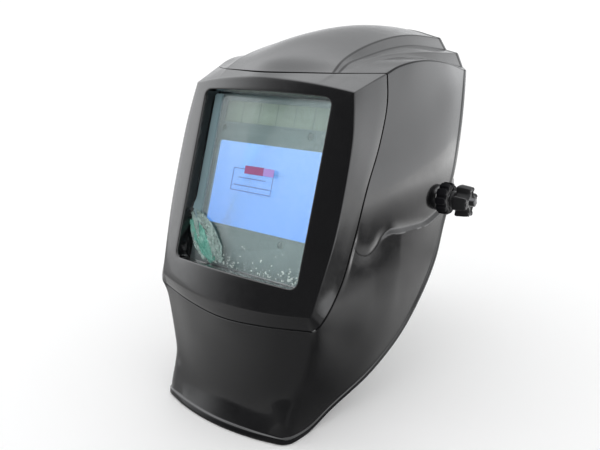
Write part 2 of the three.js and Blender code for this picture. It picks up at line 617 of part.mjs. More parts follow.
place(helmet, 'crown_pin',
  join(pinZ(CROWN.pin, CROWN.top - 6, CROWN.top + 2.6, 0, CROWN.y, 12),
    pinZ(3.4, CROWN.top + 1.8, CROWN.top + 3.2, 0, CROWN.y)), greyPlastic);

// ---------------------------------------------------------------- ratchet
const toothPitch = (2 * Math.PI * RATCHET.pitch) / RATCHET.teeth;

// A slotted tongue with teeth hanging from the slot's upper edge; `flip` -1 turns it end for end.
function rackShape(flip) {
  const [end, start, half] = [-16, 33, RACK.height / 2];
  const outline = new THREE.Shape([[start, -half], [start, half], [end, half], [end, -half]]
    .map(([x, z]) => new THREE.Vector2(x * flip, z * flip)));
  const slot = [
    [RACK.slotEnd, -RACK.slotHalf], [RACK.slotStart, -RACK.slotHalf], [RACK.slotStart, RACK.root],
  ];
  const first = Math.ceil((RACK.slotStart + 1.5) / toothPitch - 0.5);
  const last = Math.floor((RACK.slotEnd - 1.5) / toothPitch - 0.5);
  for (let k = first; k <= last; k++) {
    const middle = (k + 0.5) * toothPitch;
    slot.push([middle - 1.2, RACK.root], [middle - 0.5, RACK.tip], [middle + 0.5, RACK.tip],
      [middle + 1.2, RACK.root]);
  }
  slot.push([RACK.slotEnd, RACK.root]);
  outline.holes.push(new THREE.Path(slot.map(([x, z]) => new THREE.Vector2(x * flip, z * flip))));
  return outline;
}

function pinionShape() {
  const points = [];
  for (let i = 0; i < RATCHET.teeth; i++) {
    const angle = Math.PI / 2 + (i / RATCHET.teeth) * 2 * Math.PI;
    const flank = [[5.6, -1.15], [7, -0.75], [7.9, -0.45], [7.9, 0.45], [7, 0.75], [5.6, 1.15]];
    for (const [radius, half] of flank) {
      const turn = angle + half / radius;
      points.push(new THREE.Vector2(radius * Math.cos(turn), radius * Math.sin(turn)));
    }
  }
  return new THREE.Shape(points);
}

const atRatchet = (geometry) => geometry.translate(0, 0, RATCHET.z);
const rackFront = (side) => RATCHET.y - RACK.thickness / 2 + (side > 0 ? 0 : RACK.thickness + GAP);
for (const [label, side] of SIDES) {
  place(helmet, `rack_${label}`,
    atRatchet(plate(rackShape(side), rackFront(side), rackFront(side) + RACK.thickness)), greyPlastic);
}
{
  const base = RATCHET.y - RACK.thickness / 2 - GAP;
  const cavity = rackFront(-1) + RACK.thickness + GAP;
  const outline = () => roundedRectangle(HOUSING.half, HOUSING.rise, -HOUSING.rise, 8);
  const shaftHole = outline();
  shaftHole.holes.push(circle(0, 0, 3.5));
  const wall = outline();
  wall.holes.push(rectangleHole(HOUSING.half - 1.8, HOUSING.rise - 1.8, 1.8 - HOUSING.rise, 6));
  place(helmet, 'ratchet_base',
    atRatchet(plate(outline(), base - HOUSING.base, base)), satinBlack);
  place(helmet, 'ratchet_cover',
    atRatchet(cut(
      join(plate(shaftHole, HOUSING.back - 2, HOUSING.back), plate(wall, base + GAP, HOUSING.back - 1)),
      box(-50, 50, base, cavity, -RACK.height / 2 - GAP, RACK.height / 2 + GAP))), satinBlack);
  place(helmet, 'ratchet_pinion',
    atRatchet(join(plate(pinionShape(), base + 0.6, cavity),
      pinY(3.2, cavity - 0.5, HOUSING.back + 7, 0, 0))), greyPlastic);

  const coil = [];
  const [turns, perTurn, coilRadius] = [2, 12, 5.4];
  for (let i = 0; i <= turns * perTurn; i++) {
    const angle = (i / perTurn) * Math.PI * 2;
    const y = THREE.MathUtils.lerp(cavity + 1, HOUSING.back - 3, i / (turns * perTurn));
    coil.push(new THREE.Vector3(coilRadius * Math.cos(angle), y, coilRadius * Math.sin(angle)));
  }
  const wire = circle(0, 0, 0.5, THREE.Shape);
  place(helmet, 'ratchet_spring',
    atRatchet(new THREE.ExtrudeGeometry(wire, { extrudePath: new THREE.CatmullRomCurve3(coil),
      steps: coil.length, curveSegments: 3 })), steel);

  const grip = plate(lobedShape(18, 1.4, 12, 4), HOUSING.back + 0.5, HOUSING.back + 12);
  place(helmet, 'ratchet_knob',
    atRatchet(cut(grip, pinY(3.5, HOUSING.back, HOUSING.back + 7.5, 0, 0))), satinBlack);

  const padPath = bandPath(Math.PI / 2 - 0.55, Math.PI / 2 + 0.55, 14, -5.4);
  place(helmet, 'nape_pad', ribbon(padPath, 6.4, 34), foam);
}

// ---------------------------------------------------------------- pivots
// A slab whose outline is drawn on y and z about the pivot and which fills x0 to x1.
const acrossX = new THREE.Matrix4().makeBasis(
  new THREE.Vector3(0, 1, 0), new THREE.Vector3(0, 0, 1), new THREE.Vector3(1, 0, 0));
function pivotSlab(shape, side, near, far, curveSegments = 8) {
  const [x0, x1] = span(side, near, far);
  return new THREE.ExtrudeGeometry(shape, { depth: x1 - x0, bevelEnabled: false, curveSegments })
    .applyMatrix4(acrossX).translate(x0, PIVOT.y, PIVOT.z);
}

function washerShape(radius, hole) {
  const shape = circle(0, 0, radius, THREE.Shape);
  shape.holes.push(circle(0, 0, hole));
  return shape;
}

// The stop washer's ears limit how far the shell tilts.
function stopShape(hole) {
  const shape = new THREE.Shape();
  shape.absarc(0, 0, 9, -Math.PI * 0.4, Math.PI * 1.4);
  shape.lineTo(-2.8, -12.5);
  shape.lineTo(2.8, -12.5);
  shape.closePath();
  shape.holes.push(circle(0, 0, hole));
  return shape;
}

const boltClear = BOLT_RADIUS + 0.3;
for (const [label, side] of SIDES) {
  place(helmet, `spacer_washer_${label}`,
    pivotSlab(washerShape(8.5, boltClear), side, SEAT.inner - GAP, SEAT.inner - 1.8), greyPlastic);
  place(helmet, `stop_washer_${label}`,
    pivotSlab(stopShape(boltClear), side, SEAT.inner - 2.1, SEAT.inner - 3.4), satinBlack);

  const head = new THREE.Shape([0, 1, 2, 3, 4, 5].map((i) =>
    new THREE.Vector2(7 * Math.cos((i * Math.PI) / 3), 7 * Math.sin((i * Math.PI) / 3))));
  place(helmet, `pivot_bolt_${label}`,
    join(pivotSlab(head, side, ARM.outer - ARM.thickness - GAP, ARM.outer - ARM.thickness - 4),
      pinX(BOLT_RADIUS, ...span(side, ARM.outer - ARM.thickness - 1, TENSION.tip), PIVOT.y, PIVOT.z)),
    boltBlack);

  const collar = lobedShape(TENSION.collarRadius, 0.9, 12, 4);
  collar.holes.push(circle(0, 0, boltClear));
  place(helmet, `outer_collar_${label}`,
    pivotSlab(collar, side, SEAT.outer + 0.4, TENSION.collarEnd), satinBlack);

  const cross = lobedShape(TENSION.gripRadius, 4.6, 4, 10);
  cross.holes.push(circle(0, 0, boltClear));
  const hub = pivotSlab(washerShape(TENSION.hubRadius, boltClear), side, TENSION.collarEnd + GAP,
    TENSION.gripStart + 0.5);
  place(helmet, `tension_knob_${label}`,
    join(pivotSlab(cross, side, TENSION.gripStart, TENSION.gripEnd), hub), satinBlack);
}

// The origin is the middle of the object's footprint, on the plane its chin stands on.
const extent = new THREE.Box3().setFromObject(helmet, true);
helmet.position.set(0, -Math.round((extent.min.y + extent.max.y) * 5) / 10, -CHIN_Z);

export default helmet;
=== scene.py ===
"""Welding helmet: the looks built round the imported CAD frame."""
import json
import math
from contextlib import contextmanager

import bmesh
import bpy
import numpy as np
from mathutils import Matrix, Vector, noise


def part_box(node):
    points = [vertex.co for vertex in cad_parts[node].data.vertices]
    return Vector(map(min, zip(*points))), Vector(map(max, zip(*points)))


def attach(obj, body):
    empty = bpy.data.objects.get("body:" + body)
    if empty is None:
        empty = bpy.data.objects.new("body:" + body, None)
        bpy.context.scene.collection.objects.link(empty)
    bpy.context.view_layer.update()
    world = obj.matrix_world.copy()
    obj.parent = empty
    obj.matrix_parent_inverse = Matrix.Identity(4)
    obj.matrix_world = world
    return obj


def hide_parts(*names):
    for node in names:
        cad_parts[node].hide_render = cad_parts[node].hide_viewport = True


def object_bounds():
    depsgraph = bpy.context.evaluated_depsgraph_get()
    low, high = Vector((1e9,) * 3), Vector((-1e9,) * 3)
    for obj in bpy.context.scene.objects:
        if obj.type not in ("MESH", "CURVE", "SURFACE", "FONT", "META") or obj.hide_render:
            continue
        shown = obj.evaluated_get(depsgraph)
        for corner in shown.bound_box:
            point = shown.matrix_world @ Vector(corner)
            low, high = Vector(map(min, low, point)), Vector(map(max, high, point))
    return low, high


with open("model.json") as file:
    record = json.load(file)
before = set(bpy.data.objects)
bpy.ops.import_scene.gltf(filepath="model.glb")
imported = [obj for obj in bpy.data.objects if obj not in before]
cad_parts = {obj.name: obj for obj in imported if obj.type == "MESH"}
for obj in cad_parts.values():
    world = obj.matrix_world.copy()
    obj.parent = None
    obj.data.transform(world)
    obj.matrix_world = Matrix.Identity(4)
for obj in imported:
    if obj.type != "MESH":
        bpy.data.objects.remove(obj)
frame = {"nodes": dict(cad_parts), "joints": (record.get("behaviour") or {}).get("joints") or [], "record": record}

CAD_BOX = [list(corner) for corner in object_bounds()]
NODES = frame["nodes"]
MM = 0.001
WELD = 0.02 * MM  # points nearer than this are one
FLAT_ANGLE = math.radians(1.5)  # faces that turn less than this are merged
BEVELLED_ANGLE = math.radians(30)

# ---------------------------------------------------------------- reference frame
# Shapes are written in millimetres from the window's centre, as the CAD source is.
TILT = math.radians(17.9)
FACE_NORMAL = np.array([0, -math.cos(TILT), math.sin(TILT)])
FACE_UP = np.array([0, math.sin(TILT), math.cos(TILT)])
COVER_LENS_DEPTH = 6.45


def box_mm(node):
    low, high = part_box(node)
    return np.array(low) / MM, np.array(high) / MM


def centre_mm(node):
    low, high = box_mm(node)
    return (low + high) / 2


ORIGIN = centre_mm("cover_lens") + COVER_LENS_DEPTH * FACE_NORMAL
BODY_OF = {n: b for b, members in frame["record"]["behaviour"]["bodies"].items() for n in members}


def joint_point(name):
    joint = next(j for j in frame["joints"] if j["name"] == name)
    return np.array(joint["pos_m"]) / MM - ORIGIN


def to_row(points):
    return (np.asarray(points, float) + ORIGIN) * MM


def on_face(across, up, depth):
    across, up, depth = [np.asarray(v, float)[..., None] for v in (across, up, depth)]
    return across * np.array([1.0, 0, 0]) + up * FACE_UP - depth * FACE_NORMAL


def smoothstep(low, high, value):
    t = np.clip((np.asarray(value, float) - low) / (high - low), 0, 1)
    return t * t * (3 - 2 * t)


# ---------------------------------------------------------------- mesh helpers
def new_object(name, data):
    obj = bpy.data.objects.new(name, data)
    bpy.context.scene.collection.objects.link(obj)
    return obj


@contextmanager
def editing(mesh):
    """The mesh opened for editing; what was changed is written back."""
    bm = bmesh.new()
    bm.from_mesh(mesh)
    yield bm
    bm.to_mesh(mesh)
    bm.free()


def finish_mesh(obj, material, node, replaces=True):
    """Gives a piece its material and lets it ride with `node`, most often in its place."""
    obj.data.materials.clear()
    obj.data.materials.append(material)
    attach(obj, BODY_OF[node])
    if replaces:
        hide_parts(node)
    return obj


def mark_sharp(mesh, degrees):
    limit = math.radians(degrees)
    with editing(mesh) as bm:
        bmesh.ops.recalc_face_normals(bm, faces=bm.faces)
        for face in bm.faces:
            face.smooth = True
        for edge in bm.edges:
            edge.smooth = not (edge.is_manifold and edge.calc_face_angle() > limit)


def mesh_object(name, points, faces, sharp=40):
    mesh = bpy.data.meshes.new(name)
    mesh.from_pydata(to_row(points).tolist(), [], faces)
    mark_sharp(mesh, sharp)
    return new_object(name, mesh)


def ring_mesh(name, sections, sharp):
    """A ring of loops joined round into one closed body."""
    sections = np.asarray(sections)
    count, size = sections.shape[:2]
    faces = []
    for i in range(count):
        a, b = i * size, ((i + 1) % count) * size
        for j in range(size):
            k = (j + 1) % size
            faces.append((a + j, a + k, b + k, b + j))
    return mesh_object(name, sections.reshape(-1, 3), faces, sharp)


def rounded(points, radii, steps):
    """Replaces each corner of a loop that has a radius by a short curve of `steps` + 1 points."""
    points = [np.asarray(p, float) for p in points]
    out = []
    for i, (point, radius) in enumerate(zip(points, radii)):
        if radius <= 0:
            out.append(point)
            continue
        before, after = points[i - 1], points[(i + 1) % len(points)]
        to_before, to_after = before - point, after - point
        back, forth = np.linalg.norm(to_before), np.linalg.norm(to_after)
        reach = min(radius, 0.48 * back, 0.48 * forth)
        start, end = point + to_before / back * reach, point + to_after / forth * reach
        out += [bend(start, point, end, k / steps) for k in range(steps + 1)]
    return np.array(out)


def refine(node, material, bevel, name=None):
    """A finer stand-in for a CAD node: the same faces with rounded edges."""
    mesh = NODES[node].data.copy()
    mesh.materials.clear()
    with editing(mesh) as bm:
        bmesh.ops.remove_doubles(bm, verts=bm.verts, dist=WELD)
        bmesh.ops.dissolve_limit(bm, angle_limit=FLAT_ANGLE, verts=bm.verts, edges=bm.edges)
    obj = new_object(name or node + "_body", mesh)
    apply_modifier(obj, "BEVEL", width=bevel * MM, segments=2, limit_method="ANGLE",
                   angle_limit=BEVELLED_ANGLE, harden_normals=False, miter_outer="MITER_ARC")
    mark_sharp(obj.data, 50)
    return finish_mesh(obj, material, node)


def apply_modifier(obj, kind, **settings):
    modifier = obj.modifiers.new(kind.lower(), kind)
    for key, value in settings.items():
        setattr(modifier, key, value)
    graph = bpy.context.evaluated_depsgraph_get()
    mesh = bpy.data.meshes.new_from_object(obj.evaluated_get(graph), depsgraph=graph)
    obj.modifiers.clear()
    obj.data = mesh


# ---------------------------------------------------------------- curves
def cubic(start, end, leave, arrive, t):
    """Points at `t` on the cubic curve with these ends and end tangents."""
    step = end - start
    return start + leave * t + (3 * step - 2 * leave - arrive) * t ** 2 + (leave + arrive - 2 * step) * t ** 3


def bend(start, corner, end, t):
    """A point at `t` on the curve that rounds off a corner."""
    return (1 - t) ** 2 * start + 2 * t * (1 - t) * corner + t * t * end


def polyline(points, leave, arrive, per):
    """`per` steps along each span of a cubic curve, from its tangents at both ends of every span."""
    t = (np.arange(per) / per)[:, None]
    return np.vstack([cubic(*span, t) for span in zip(points, points[1:], leave, arrive)] + [points[-1:]])


def centripetal(points, per):
    """A centripetal Catmull-Rom curve."""
    p = np.asarray(points, float)
    q = np.vstack([2 * p[0] - p[1], p, 2 * p[-1] - p[-2]])
    root = np.linalg.norm(np.diff(q, axis=0), axis=1, keepdims=True) ** 0.5
    pace = np.diff(q, axis=0) / root
    slope = pace[:-1] - (q[2:] - q[:-2]) / (root[:-1] + root[1:]) + pace[1:]
    return polyline(p, slope[:-1] * root[1:-1], slope[1:] * root[1:-1], per)


def uniform_spline(points, per=40):
    """A uniform Catmull-Rom curve."""
    p = np.asarray(points, float)
    q = np.vstack([p[:1], p, p[-1:]])
    slope = (q[2:] - q[:-2]) / 2
    return polyline(p, slope[:-1], slope[1:], per)


def along(line, shares):
    """Points of a polyline at shares of its length."""
    lengths = np.concatenate([[0], np.cumsum(np.linalg.norm(np.diff(line, axis=0), axis=1))])
    at = np.asarray(shares) * lengths[-1]
    return np.stack([np.interp(at, lengths, line[:, k]) for k in range(line.shape[1])], axis=-1)


def length_of(line):
    return np.linalg.norm(np.diff(line, axis=0), axis=1).sum()


# ---------------------------------------------------------------- materials
class Graph:
    """A small builder for shader nodes. Textures read object space in millimetres."""

    def __init__(self, name, world=False):
        self.owner = (bpy.data.worlds if world else bpy.data.materials).new(name)
        self.owner.use_nodes = True
        self.tree = self.owner.node_tree
        self.tree.nodes.clear()
        output = self.add("ShaderNodeOutputWorld" if world else "ShaderNodeOutputMaterial")
        self.result = output.inputs["Surface"]
        self.coordinates = self.add("ShaderNodeTexCoord").outputs
        scale = self.add("ShaderNodeVectorMath", operation="SCALE")
        self.link(self.coordinates["Object"], scale.inputs[0])
        scale.inputs["Scale"].default_value = 1 / MM
        self.mm = scale.outputs[0]

    def add(self, kind, **settings):
        node = self.tree.nodes.new(kind)
        for key, value in settings.items():
            setattr(node, key, value)
        return node

    def link(self, a, b):
        self.tree.links.new(a, b)

    def put(self, socket, value):
        """Links a socket, or sets it to a number, a vector or a colour without alpha."""
        if isinstance(value, bpy.types.NodeSocket):
            self.link(value, socket)
        else:
            socket.default_value = (*value, 1) if socket.type == "RGBA" else value

    def shade(self, kind, **inputs):
        node = self.add(kind)
        for key, value in inputs.items():
            self.put(node.inputs[key.replace("_", " ")], value)
        return node.outputs[0]

    def texture(self, kind, size, stretch=(1, 1, 1), node_settings=None, **inputs):
        """A texture whose features are about `size` millimetres across."""
        mapping = self.add("ShaderNodeMapping")
        mapping.inputs["Scale"].default_value = [1 / (size * s) for s in stretch]
        self.link(self.mm, mapping.inputs["Vector"])
        node = self.add(kind, **(node_settings or {}))
        self.link(mapping.outputs[0], node.inputs["Vector"])
        for key, value in {"Scale": 1.0, **inputs}.items():
            node.inputs[key].default_value = value
        return node

    def noise(self, size, detail=2.0, rough=0.5, stretch=(1, 1, 1), distortion=0.0):
        """Noise from 0 to 1."""
        return self.texture("ShaderNodeTexNoise", size, stretch, Detail=detail, Roughness=rough,
                            Distortion=distortion).outputs["Fac"]

    def cells(self, size, feature="F1", stretch=(1, 1, 1)):
        settings = {"feature": feature}
        return self.texture("ShaderNodeTexVoronoi", size, stretch, settings).outputs["Distance"]

    def waves(self, size, direction, distortion=0.0):
        node = self.add("ShaderNodeTexWave", bands_direction=direction, wave_profile="SIN")
        self.link(self.mm, node.inputs["Vector"])
        node.inputs["Scale"].default_value = 2 * math.pi / (20 * size)
        node.inputs["Distortion"].default_value = distortion
        node.inputs["Detail"].default_value = 1.0
        return node.outputs["Fac"]

    def math(self, operation, first, *others, clamp=False):
        """Works through its values from the left."""
        for value in others:
            node = self.add("ShaderNodeMath", operation=operation, use_clamp=clamp)
            self.put(node.inputs[0], first)
            self.put(node.inputs[1], value)
            first = node.outputs[0]
        return first

    def coordinate(self, axis):
        split = self.add("ShaderNodeSeparateXYZ")
        self.link(self.mm, split.inputs[0])
        return split.outputs[axis]

    def dot(self, vector, other):
        node = self.add("ShaderNodeVectorMath", operation="DOT_PRODUCT")
        self.put(node.inputs[0], vector)
        self.put(node.inputs[1], other)
        return node.outputs["Value"]

    def shader_mix(self, share, below, above):
        node = self.add("ShaderNodeMixShader")
        for socket, value in zip(node.inputs, (share, below, above)):
            self.link(value, socket)
        return node.outputs[0]

    def by_ray(self, plain, mirrored):
        """Mirror rays see `mirrored`, all others `plain`."""
        path = self.add("ShaderNodeLightPath").outputs["Is Glossy Ray"]
        self.link(self.shader_mix(path, plain, mirrored), self.result)

    def ramp(self, value, low, high, start=0.0, end=1.0, interpolation="LINEAR"):
        """Maps value from start..end to low..high, held at the ends."""
        node = self.add("ShaderNodeMapRange", interpolation_type=interpolation)
        self.link(value, node.inputs["Value"])
        for key, number in (("From Min", start), ("From Max", end), ("To Min", low), ("To Max", high)):
            node.inputs[key].default_value = number
        return node.outputs[0]

    def mix(self, share, a, b):
        node = self.add("ShaderNodeMix", data_type="RGBA")
        for index, value in ((0, share), (6, a), (7, b)):
            self.put(node.inputs[index], value)
        return node.outputs[2]

    def edges(self, radius):
        """About 1 along worn edges, from how far the rounded normal turns."""
        bevel = self.add("ShaderNodeBevel", samples=4)
        bevel.inputs["Radius"].default_value = radius * MM
        normal = self.add("ShaderNodeNewGeometry").outputs["Normal"]
        return self.ramp(self.dot(bevel.outputs[0], normal), 1.0, 0.0, start=0.80, end=0.985)

    def bump(self, *layers):
        """Layers of (height, depth in millimetres)."""
        below = {}
        for height, depth in layers:
            below["Normal"] = self.shade("ShaderNodeBump", Height=height, Distance=depth * MM,
                                         Strength=1.0, **below)
        return below["Normal"]

    def surface(self, **inputs):
        shader = self.shade("ShaderNodeBsdfPrincipled", **inputs)
        self.link(shader, self.result)
        return shader


def gloss_black():
    """The shell's glossy black, with fine dust, hairline scratches and smears. Its creases carry painted shade:
    their gloss is dulled so they read darker, and its rolled rim is dulled too.
    """
    g = Graph("gloss_black")
    haze = g.noise(60, detail=3)
    smear = g.noise(9, detail=4, rough=0.6, distortion=1.2)
    hairline = g.noise(3.0, detail=3, rough=0.7, stretch=(0.12, 2.5, 1.2))
    scratch = g.ramp(hairline, 0, 1, start=0.70, end=0.78)
    dust = g.ramp(g.cells(5.5), 1, 0, start=0.02, end=0.05)
    colour = g.mix(haze, (0.0035, 0.0036, 0.0042), (0.0065, 0.0065, 0.0072))
    colour = g.mix(g.math("MULTIPLY", dust, 0.12), colour, (0.16, 0.16, 0.16))
    rough = g.math("ADD", g.ramp(smear, 0.14, 0.26, start=0.3, end=0.75), g.math("MULTIPLY", scratch, 0.12),
                   g.math("MULTIPLY", g.edges(0.6), 0.08))
    normal = g.bump((g.noise(26, detail=1), 0.16), (g.noise(2.2, detail=1), 0.006), (scratch, 0.004))
    # Painted shade: the crown's creases lose specular and coat so they read darker; the rolled rim is dulled as
    # well.
    crease_shade_and_rim_dulling = g.add("ShaderNodeAttribute", attribute_name="crease_shade_and_rim_dulling").outputs["Fac"]
    g.surface(Base_Color=colour, Roughness=rough, Normal=normal, IOR=1.52, Coat_Roughness=0.04,
              Specular_IOR_Level=g.ramp(crease_shade_and_rim_dulling, 0.5, 0.15), Coat_Weight=g.ramp(crease_shade_and_rim_dulling, 0.25, 0.0))
    return g.owner


def moulded(name, base, depth, rough=0.4, grain=0.5, lighter=1.5, wear=0.25, gloss=1.46):
    """Grained moulded plastic, a little paler on its handled edges."""
    g = Graph(name)
    tone = g.noise(14, detail=3)
    speckle = g.noise(grain, detail=2, rough=0.7)
    colour = g.mix(tone, base, [c * lighter for c in base])
    edge = g.math("MULTIPLY", g.edges(0.5), g.ramp(g.noise(4, detail=3), 0.3, 1.0, start=0.4, end=0.6))
    colour = g.mix(g.math("MULTIPLY", edge, wear), colour, [min(1, c * 3 + 0.05) for c in base])
    roughness = g.math("ADD", g.ramp(speckle, rough - 0.06, rough + 0.10),
                       g.math("MULTIPLY", g.noise(20, detail=2), 0.08))
    normal = g.bump((g.noise(18, detail=1), 0.05), (speckle, depth))
    g.surface(Base_Color=colour, Roughness=roughness, Normal=normal, IOR=gloss)
    return g.owner


def metal(name, base, rough):
    """Brushed metal."""
    g = Graph(name)
    tone = g.noise(5, detail=4, rough=0.65)
    line = g.noise(0.5, detail=2, stretch=(1, 1, 6))
    colour = g.mix(tone, [c * 0.75 for c in base], base)
    roughness = g.math("ADD", g.ramp(tone, rough - 0.08, rough + 0.14), g.math("MULTIPLY", line, 0.08))
    g.surface(Base_Color=colour, Metallic=1.0, Roughness=roughness, Normal=g.bump((line, 0.012)))
    return g.owner


SHEET_IOR = 1.5
LOOSE_MARGIN = (-49.5, -45.5)  # where the film's loose, milky margin fades out
LOOSE_COLOUR = (0.24, 0.34, 0.37)


def clear_sheet(name, tint, milk=0.0, milk_colour=(0.7, 0.85, 0.8), rough=0.03, waves=0.0,
                mirror_share=1.0, loose_margin=0.0):
    """A thin clear sheet: it lets light straight through and mirrors by angle. Where it is loose, at the
    wearer's right margin, it is milky."""
    g = Graph(name)
    hairline = g.noise(2.0, detail=3, stretch=(0.15, 1, 2))
    layers = [(g.ramp(hairline, 0, 1, start=0.66, end=0.72), 0.004)]
    if waves:
        layers.insert(0, (g.noise(9, detail=2, distortion=0.8), waves))
    normal = g.bump(*layers)
    smudge = g.ramp(g.noise(16, detail=4, rough=0.6), 0.0, 1.0, start=0.35, end=0.8)
    share = g.ramp(smudge, milk * 0.7, milk * 1.3)
    if loose_margin:
        loose = g.ramp(g.coordinate("X"), 1.0, 0.0, start=LOOSE_MARGIN[0], end=LOOSE_MARGIN[1])
        milk_colour = g.mix(g.ramp(loose, 0.0, 1.0, end=0.1), milk_colour, LOOSE_COLOUR)
        share = g.math("ADD", share, g.math("MULTIPLY", loose, loose_margin))
    through = g.shade("ShaderNodeBsdfTransparent", Color=tint)
    haze = g.shade("ShaderNodeBsdfDiffuse", Color=milk_colour, Normal=normal)
    mirror = g.shade("ShaderNodeBsdfGlossy", Roughness=g.ramp(smudge, rough, rough + 0.12), Normal=normal)
    fresnel = g.shade("ShaderNodeFresnel", IOR=SHEET_IOR, Normal=normal)
    milky = g.shader_mix(share, through, haze)
    sheet = g.shader_mix(g.math("MULTIPLY", fresnel, mirror_share), milky, mirror)
    g.link(sheet, g.result)
    return g.owner


def painted_filter_glow():
    """The filter's blue is painted light: it glows, in front a blue that pales towards its top in place of its
    mirror coating's reflection, and from behind a dim green.
    """
    g = Graph("filter_glass")
    low, high = box_mm("lcd_filter_glass")
    height = g.ramp(g.coordinate("Z"), 0.0, 1.0, start=low[2], end=high[2])
    tone = g.math("MULTIPLY", g.noise(30, detail=2), 0.3)
    tone = g.math("ADD", g.math("MULTIPLY", height, 0.75), tone, clamp=True)
    blue = g.mix(tone, (0.11, 0.32, 0.95), (0.26, 0.49, 1.0))
    normal = g.add("ShaderNodeNewGeometry").outputs["True Normal"]
    front = g.ramp(g.dot(normal, FACE_NORMAL), 0.0, 1.0, start=-0.2, end=0.4)
    g.surface(Base_Color=g.mix(front, (0.03, 0.10, 0.05), (0.05, 0.10, 0.3)),
              Roughness=g.ramp(g.noise(7, detail=3), 0.05, 0.14), Coat_Weight=0.4,
              # Painted light: emission stands in for what the filter's coating reflects in front and lets through
              # behind.
              Emission_Color=g.mix(front, (0.10, 0.26, 0.14), blue),
              Emission_Strength=g.ramp(front, 0.5, 1.25),
              Normal=g.bump((g.noise(24, detail=1), 0.03)))
    return g.owner


def solar_strip():
    """Olive solar cells with pale fingers, seen through a tinted cover."""
    g = Graph("solar_strip")
    gap = g.ramp(g.waves(16.5, "X"), 1, 0, start=0.0, end=0.012)
    fingers = g.waves(1.2, "Z")
    colour = g.mix(g.noise(9, detail=3), (0.31, 0.38, 0.29), (0.38, 0.45, 0.35))
    colour = g.mix(g.math("MULTIPLY", fingers, 0.10), colour, (0.55, 0.60, 0.55))
    colour = g.mix(g.math("MULTIPLY", gap, 0.5), colour, (0.12, 0.15, 0.15))
    g.surface(Base_Color=colour, Roughness=g.ramp(g.noise(5, detail=2), 0.18, 0.32), Coat_Weight=0.5,
              Normal=g.bump((fingers, 0.004)))
    return g.owner


def circuit():
    g = Graph("circuit_green")
    lines = g.cells(2.2, feature="DISTANCE_TO_EDGE", stretch=(1, 1, 0.6))
    tracks = g.ramp(lines, 1, 0, start=0.05, end=0.09)
    g.surface(Base_Color=g.mix(tracks, (0.012, 0.06, 0.03), (0.03, 0.16, 0.07)),
              Roughness=g.ramp(g.noise(2), 0.3, 0.45), Normal=g.bump((tracks, 0.03)))
    return g.owner


def knit():
    """Sweatband cloth: ribs of small loops over foam, a little faded."""
    g = Graph("sweat_fabric")
    loops = g.math("MULTIPLY", g.waves(1.1, "Z", 0.6), g.waves(0.9, "X", 0.6))
    fuzz = g.noise(0.5, detail=3, rough=0.8)
    colour = g.mix(g.noise(22, detail=3), (0.018, 0.018, 0.020), (0.045, 0.045, 0.05))
    colour = g.mix(g.math("MULTIPLY", loops, 0.6), colour, (0.09, 0.09, 0.095))
    g.surface(Base_Color=colour, Roughness=g.ramp(fuzz, 0.82, 0.98), Sheen_Weight=0.4, Sheen_Roughness=0.5,
              Normal=g.bump((loops, 0.22), (fuzz, 0.07)))
    return g.owner


def green_film():
    """The pull tab's crumpled green film."""
    g = Graph("green_film")
    streak = g.noise(2.2, detail=4, rough=0.7, stretch=(0.5, 0.5, 3))
    cloud = g.noise(7, detail=3)
    colour = g.mix(streak, (0.04, 0.26, 0.20), (0.26, 0.60, 0.50))
    colour = g.mix(g.ramp(cloud, 0, 0.5, start=0.45, end=0.8), colour, (0.55, 0.78, 0.72))
    g.surface(Base_Color=colour, Roughness=g.ramp(streak, 0.15, 0.4), Alpha=g.ramp(cloud, 0.97, 0.78),
              Normal=g.bump((g.noise(1.6, detail=3, stretch=(0.5, 0.5, 2)), 0.3)))
    return g.owner


def printed(name, base, rough=0.5, grain=0.4, lighter=1.2):
    return moulded(name, base, depth=0.002, rough=rough, grain=grain, lighter=lighter, wear=0.0)


BLACK = gloss_black()
SATIN = moulded("satin_black", (0.020, 0.021, 0.022), rough=0.34, grain=0.6, depth=0.018)
CARTRIDGE_GREY = moulded("cartridge_grey", (0.165, 0.215, 0.225), rough=0.30, depth=0.01, lighter=1.15)
HEADGEAR = moulded("headgear_black", (0.012, 0.012, 0.013), rough=0.42, grain=0.8, depth=0.03)
# The collar's very low gloss, and the knob's low gloss, are painted shade: they darken pieces that no mirror
# shows, the collar most as it sits in shade behind the grip.
KNOB = moulded("knob_black", (0.010, 0.010, 0.011), rough=0.40, grain=0.7, depth=0.03, wear=0.3, gloss=1.31)
COLLAR = moulded("collar_black", (0.005, 0.005, 0.006), rough=0.46, grain=0.7, depth=0.03, gloss=1.13)
GREY = moulded("grey_plastic", (0.055, 0.056, 0.06), depth=0.015)
SENSOR = moulded("sensor_black", (0.09, 0.115, 0.115), rough=0.18, grain=1.5, depth=0.004, gloss=1.6)
RED = moulded("button_red", (0.30, 0.02, 0.016), rough=0.35, depth=0.01, lighter=1.15)
STEEL = metal("steel", (0.62, 0.62, 0.64), rough=0.3)
CLEAR = clear_sheet("clear_lens", tint=(0.985, 0.992, 0.99), mirror_share=0.3)
FILM_CLEAR = clear_sheet("clear_film", tint=(0.96, 0.985, 0.985), milk=0.02, milk_colour=(0.35, 0.9, 0.85),
                         rough=0.05, waves=0.01, mirror_share=0.3, loose_margin=0.72)
CRUMPLE = clear_sheet("crumpled_film", tint=(0.90, 0.97, 0.95), milk=0.34, milk_colour=(0.75, 0.97, 0.92),
                      rough=0.08, waves=0.2)
BLISTER = clear_sheet("film_blister", tint=(0.96, 0.99, 0.98), milk=0.75, milk_colour=(0.86, 0.99, 0.96),
                      rough=0.12)
GREEN = green_film()
FILTER_GLOW = painted_filter_glow()
STRIP = solar_strip()
BOARD = circuit()
FABRIC = knit()
BOLT = metal("bolt_black", (0.10, 0.10, 0.105), rough=0.34)
PRINT = printed("print_grey", (0.10, 0.12, 0.32))
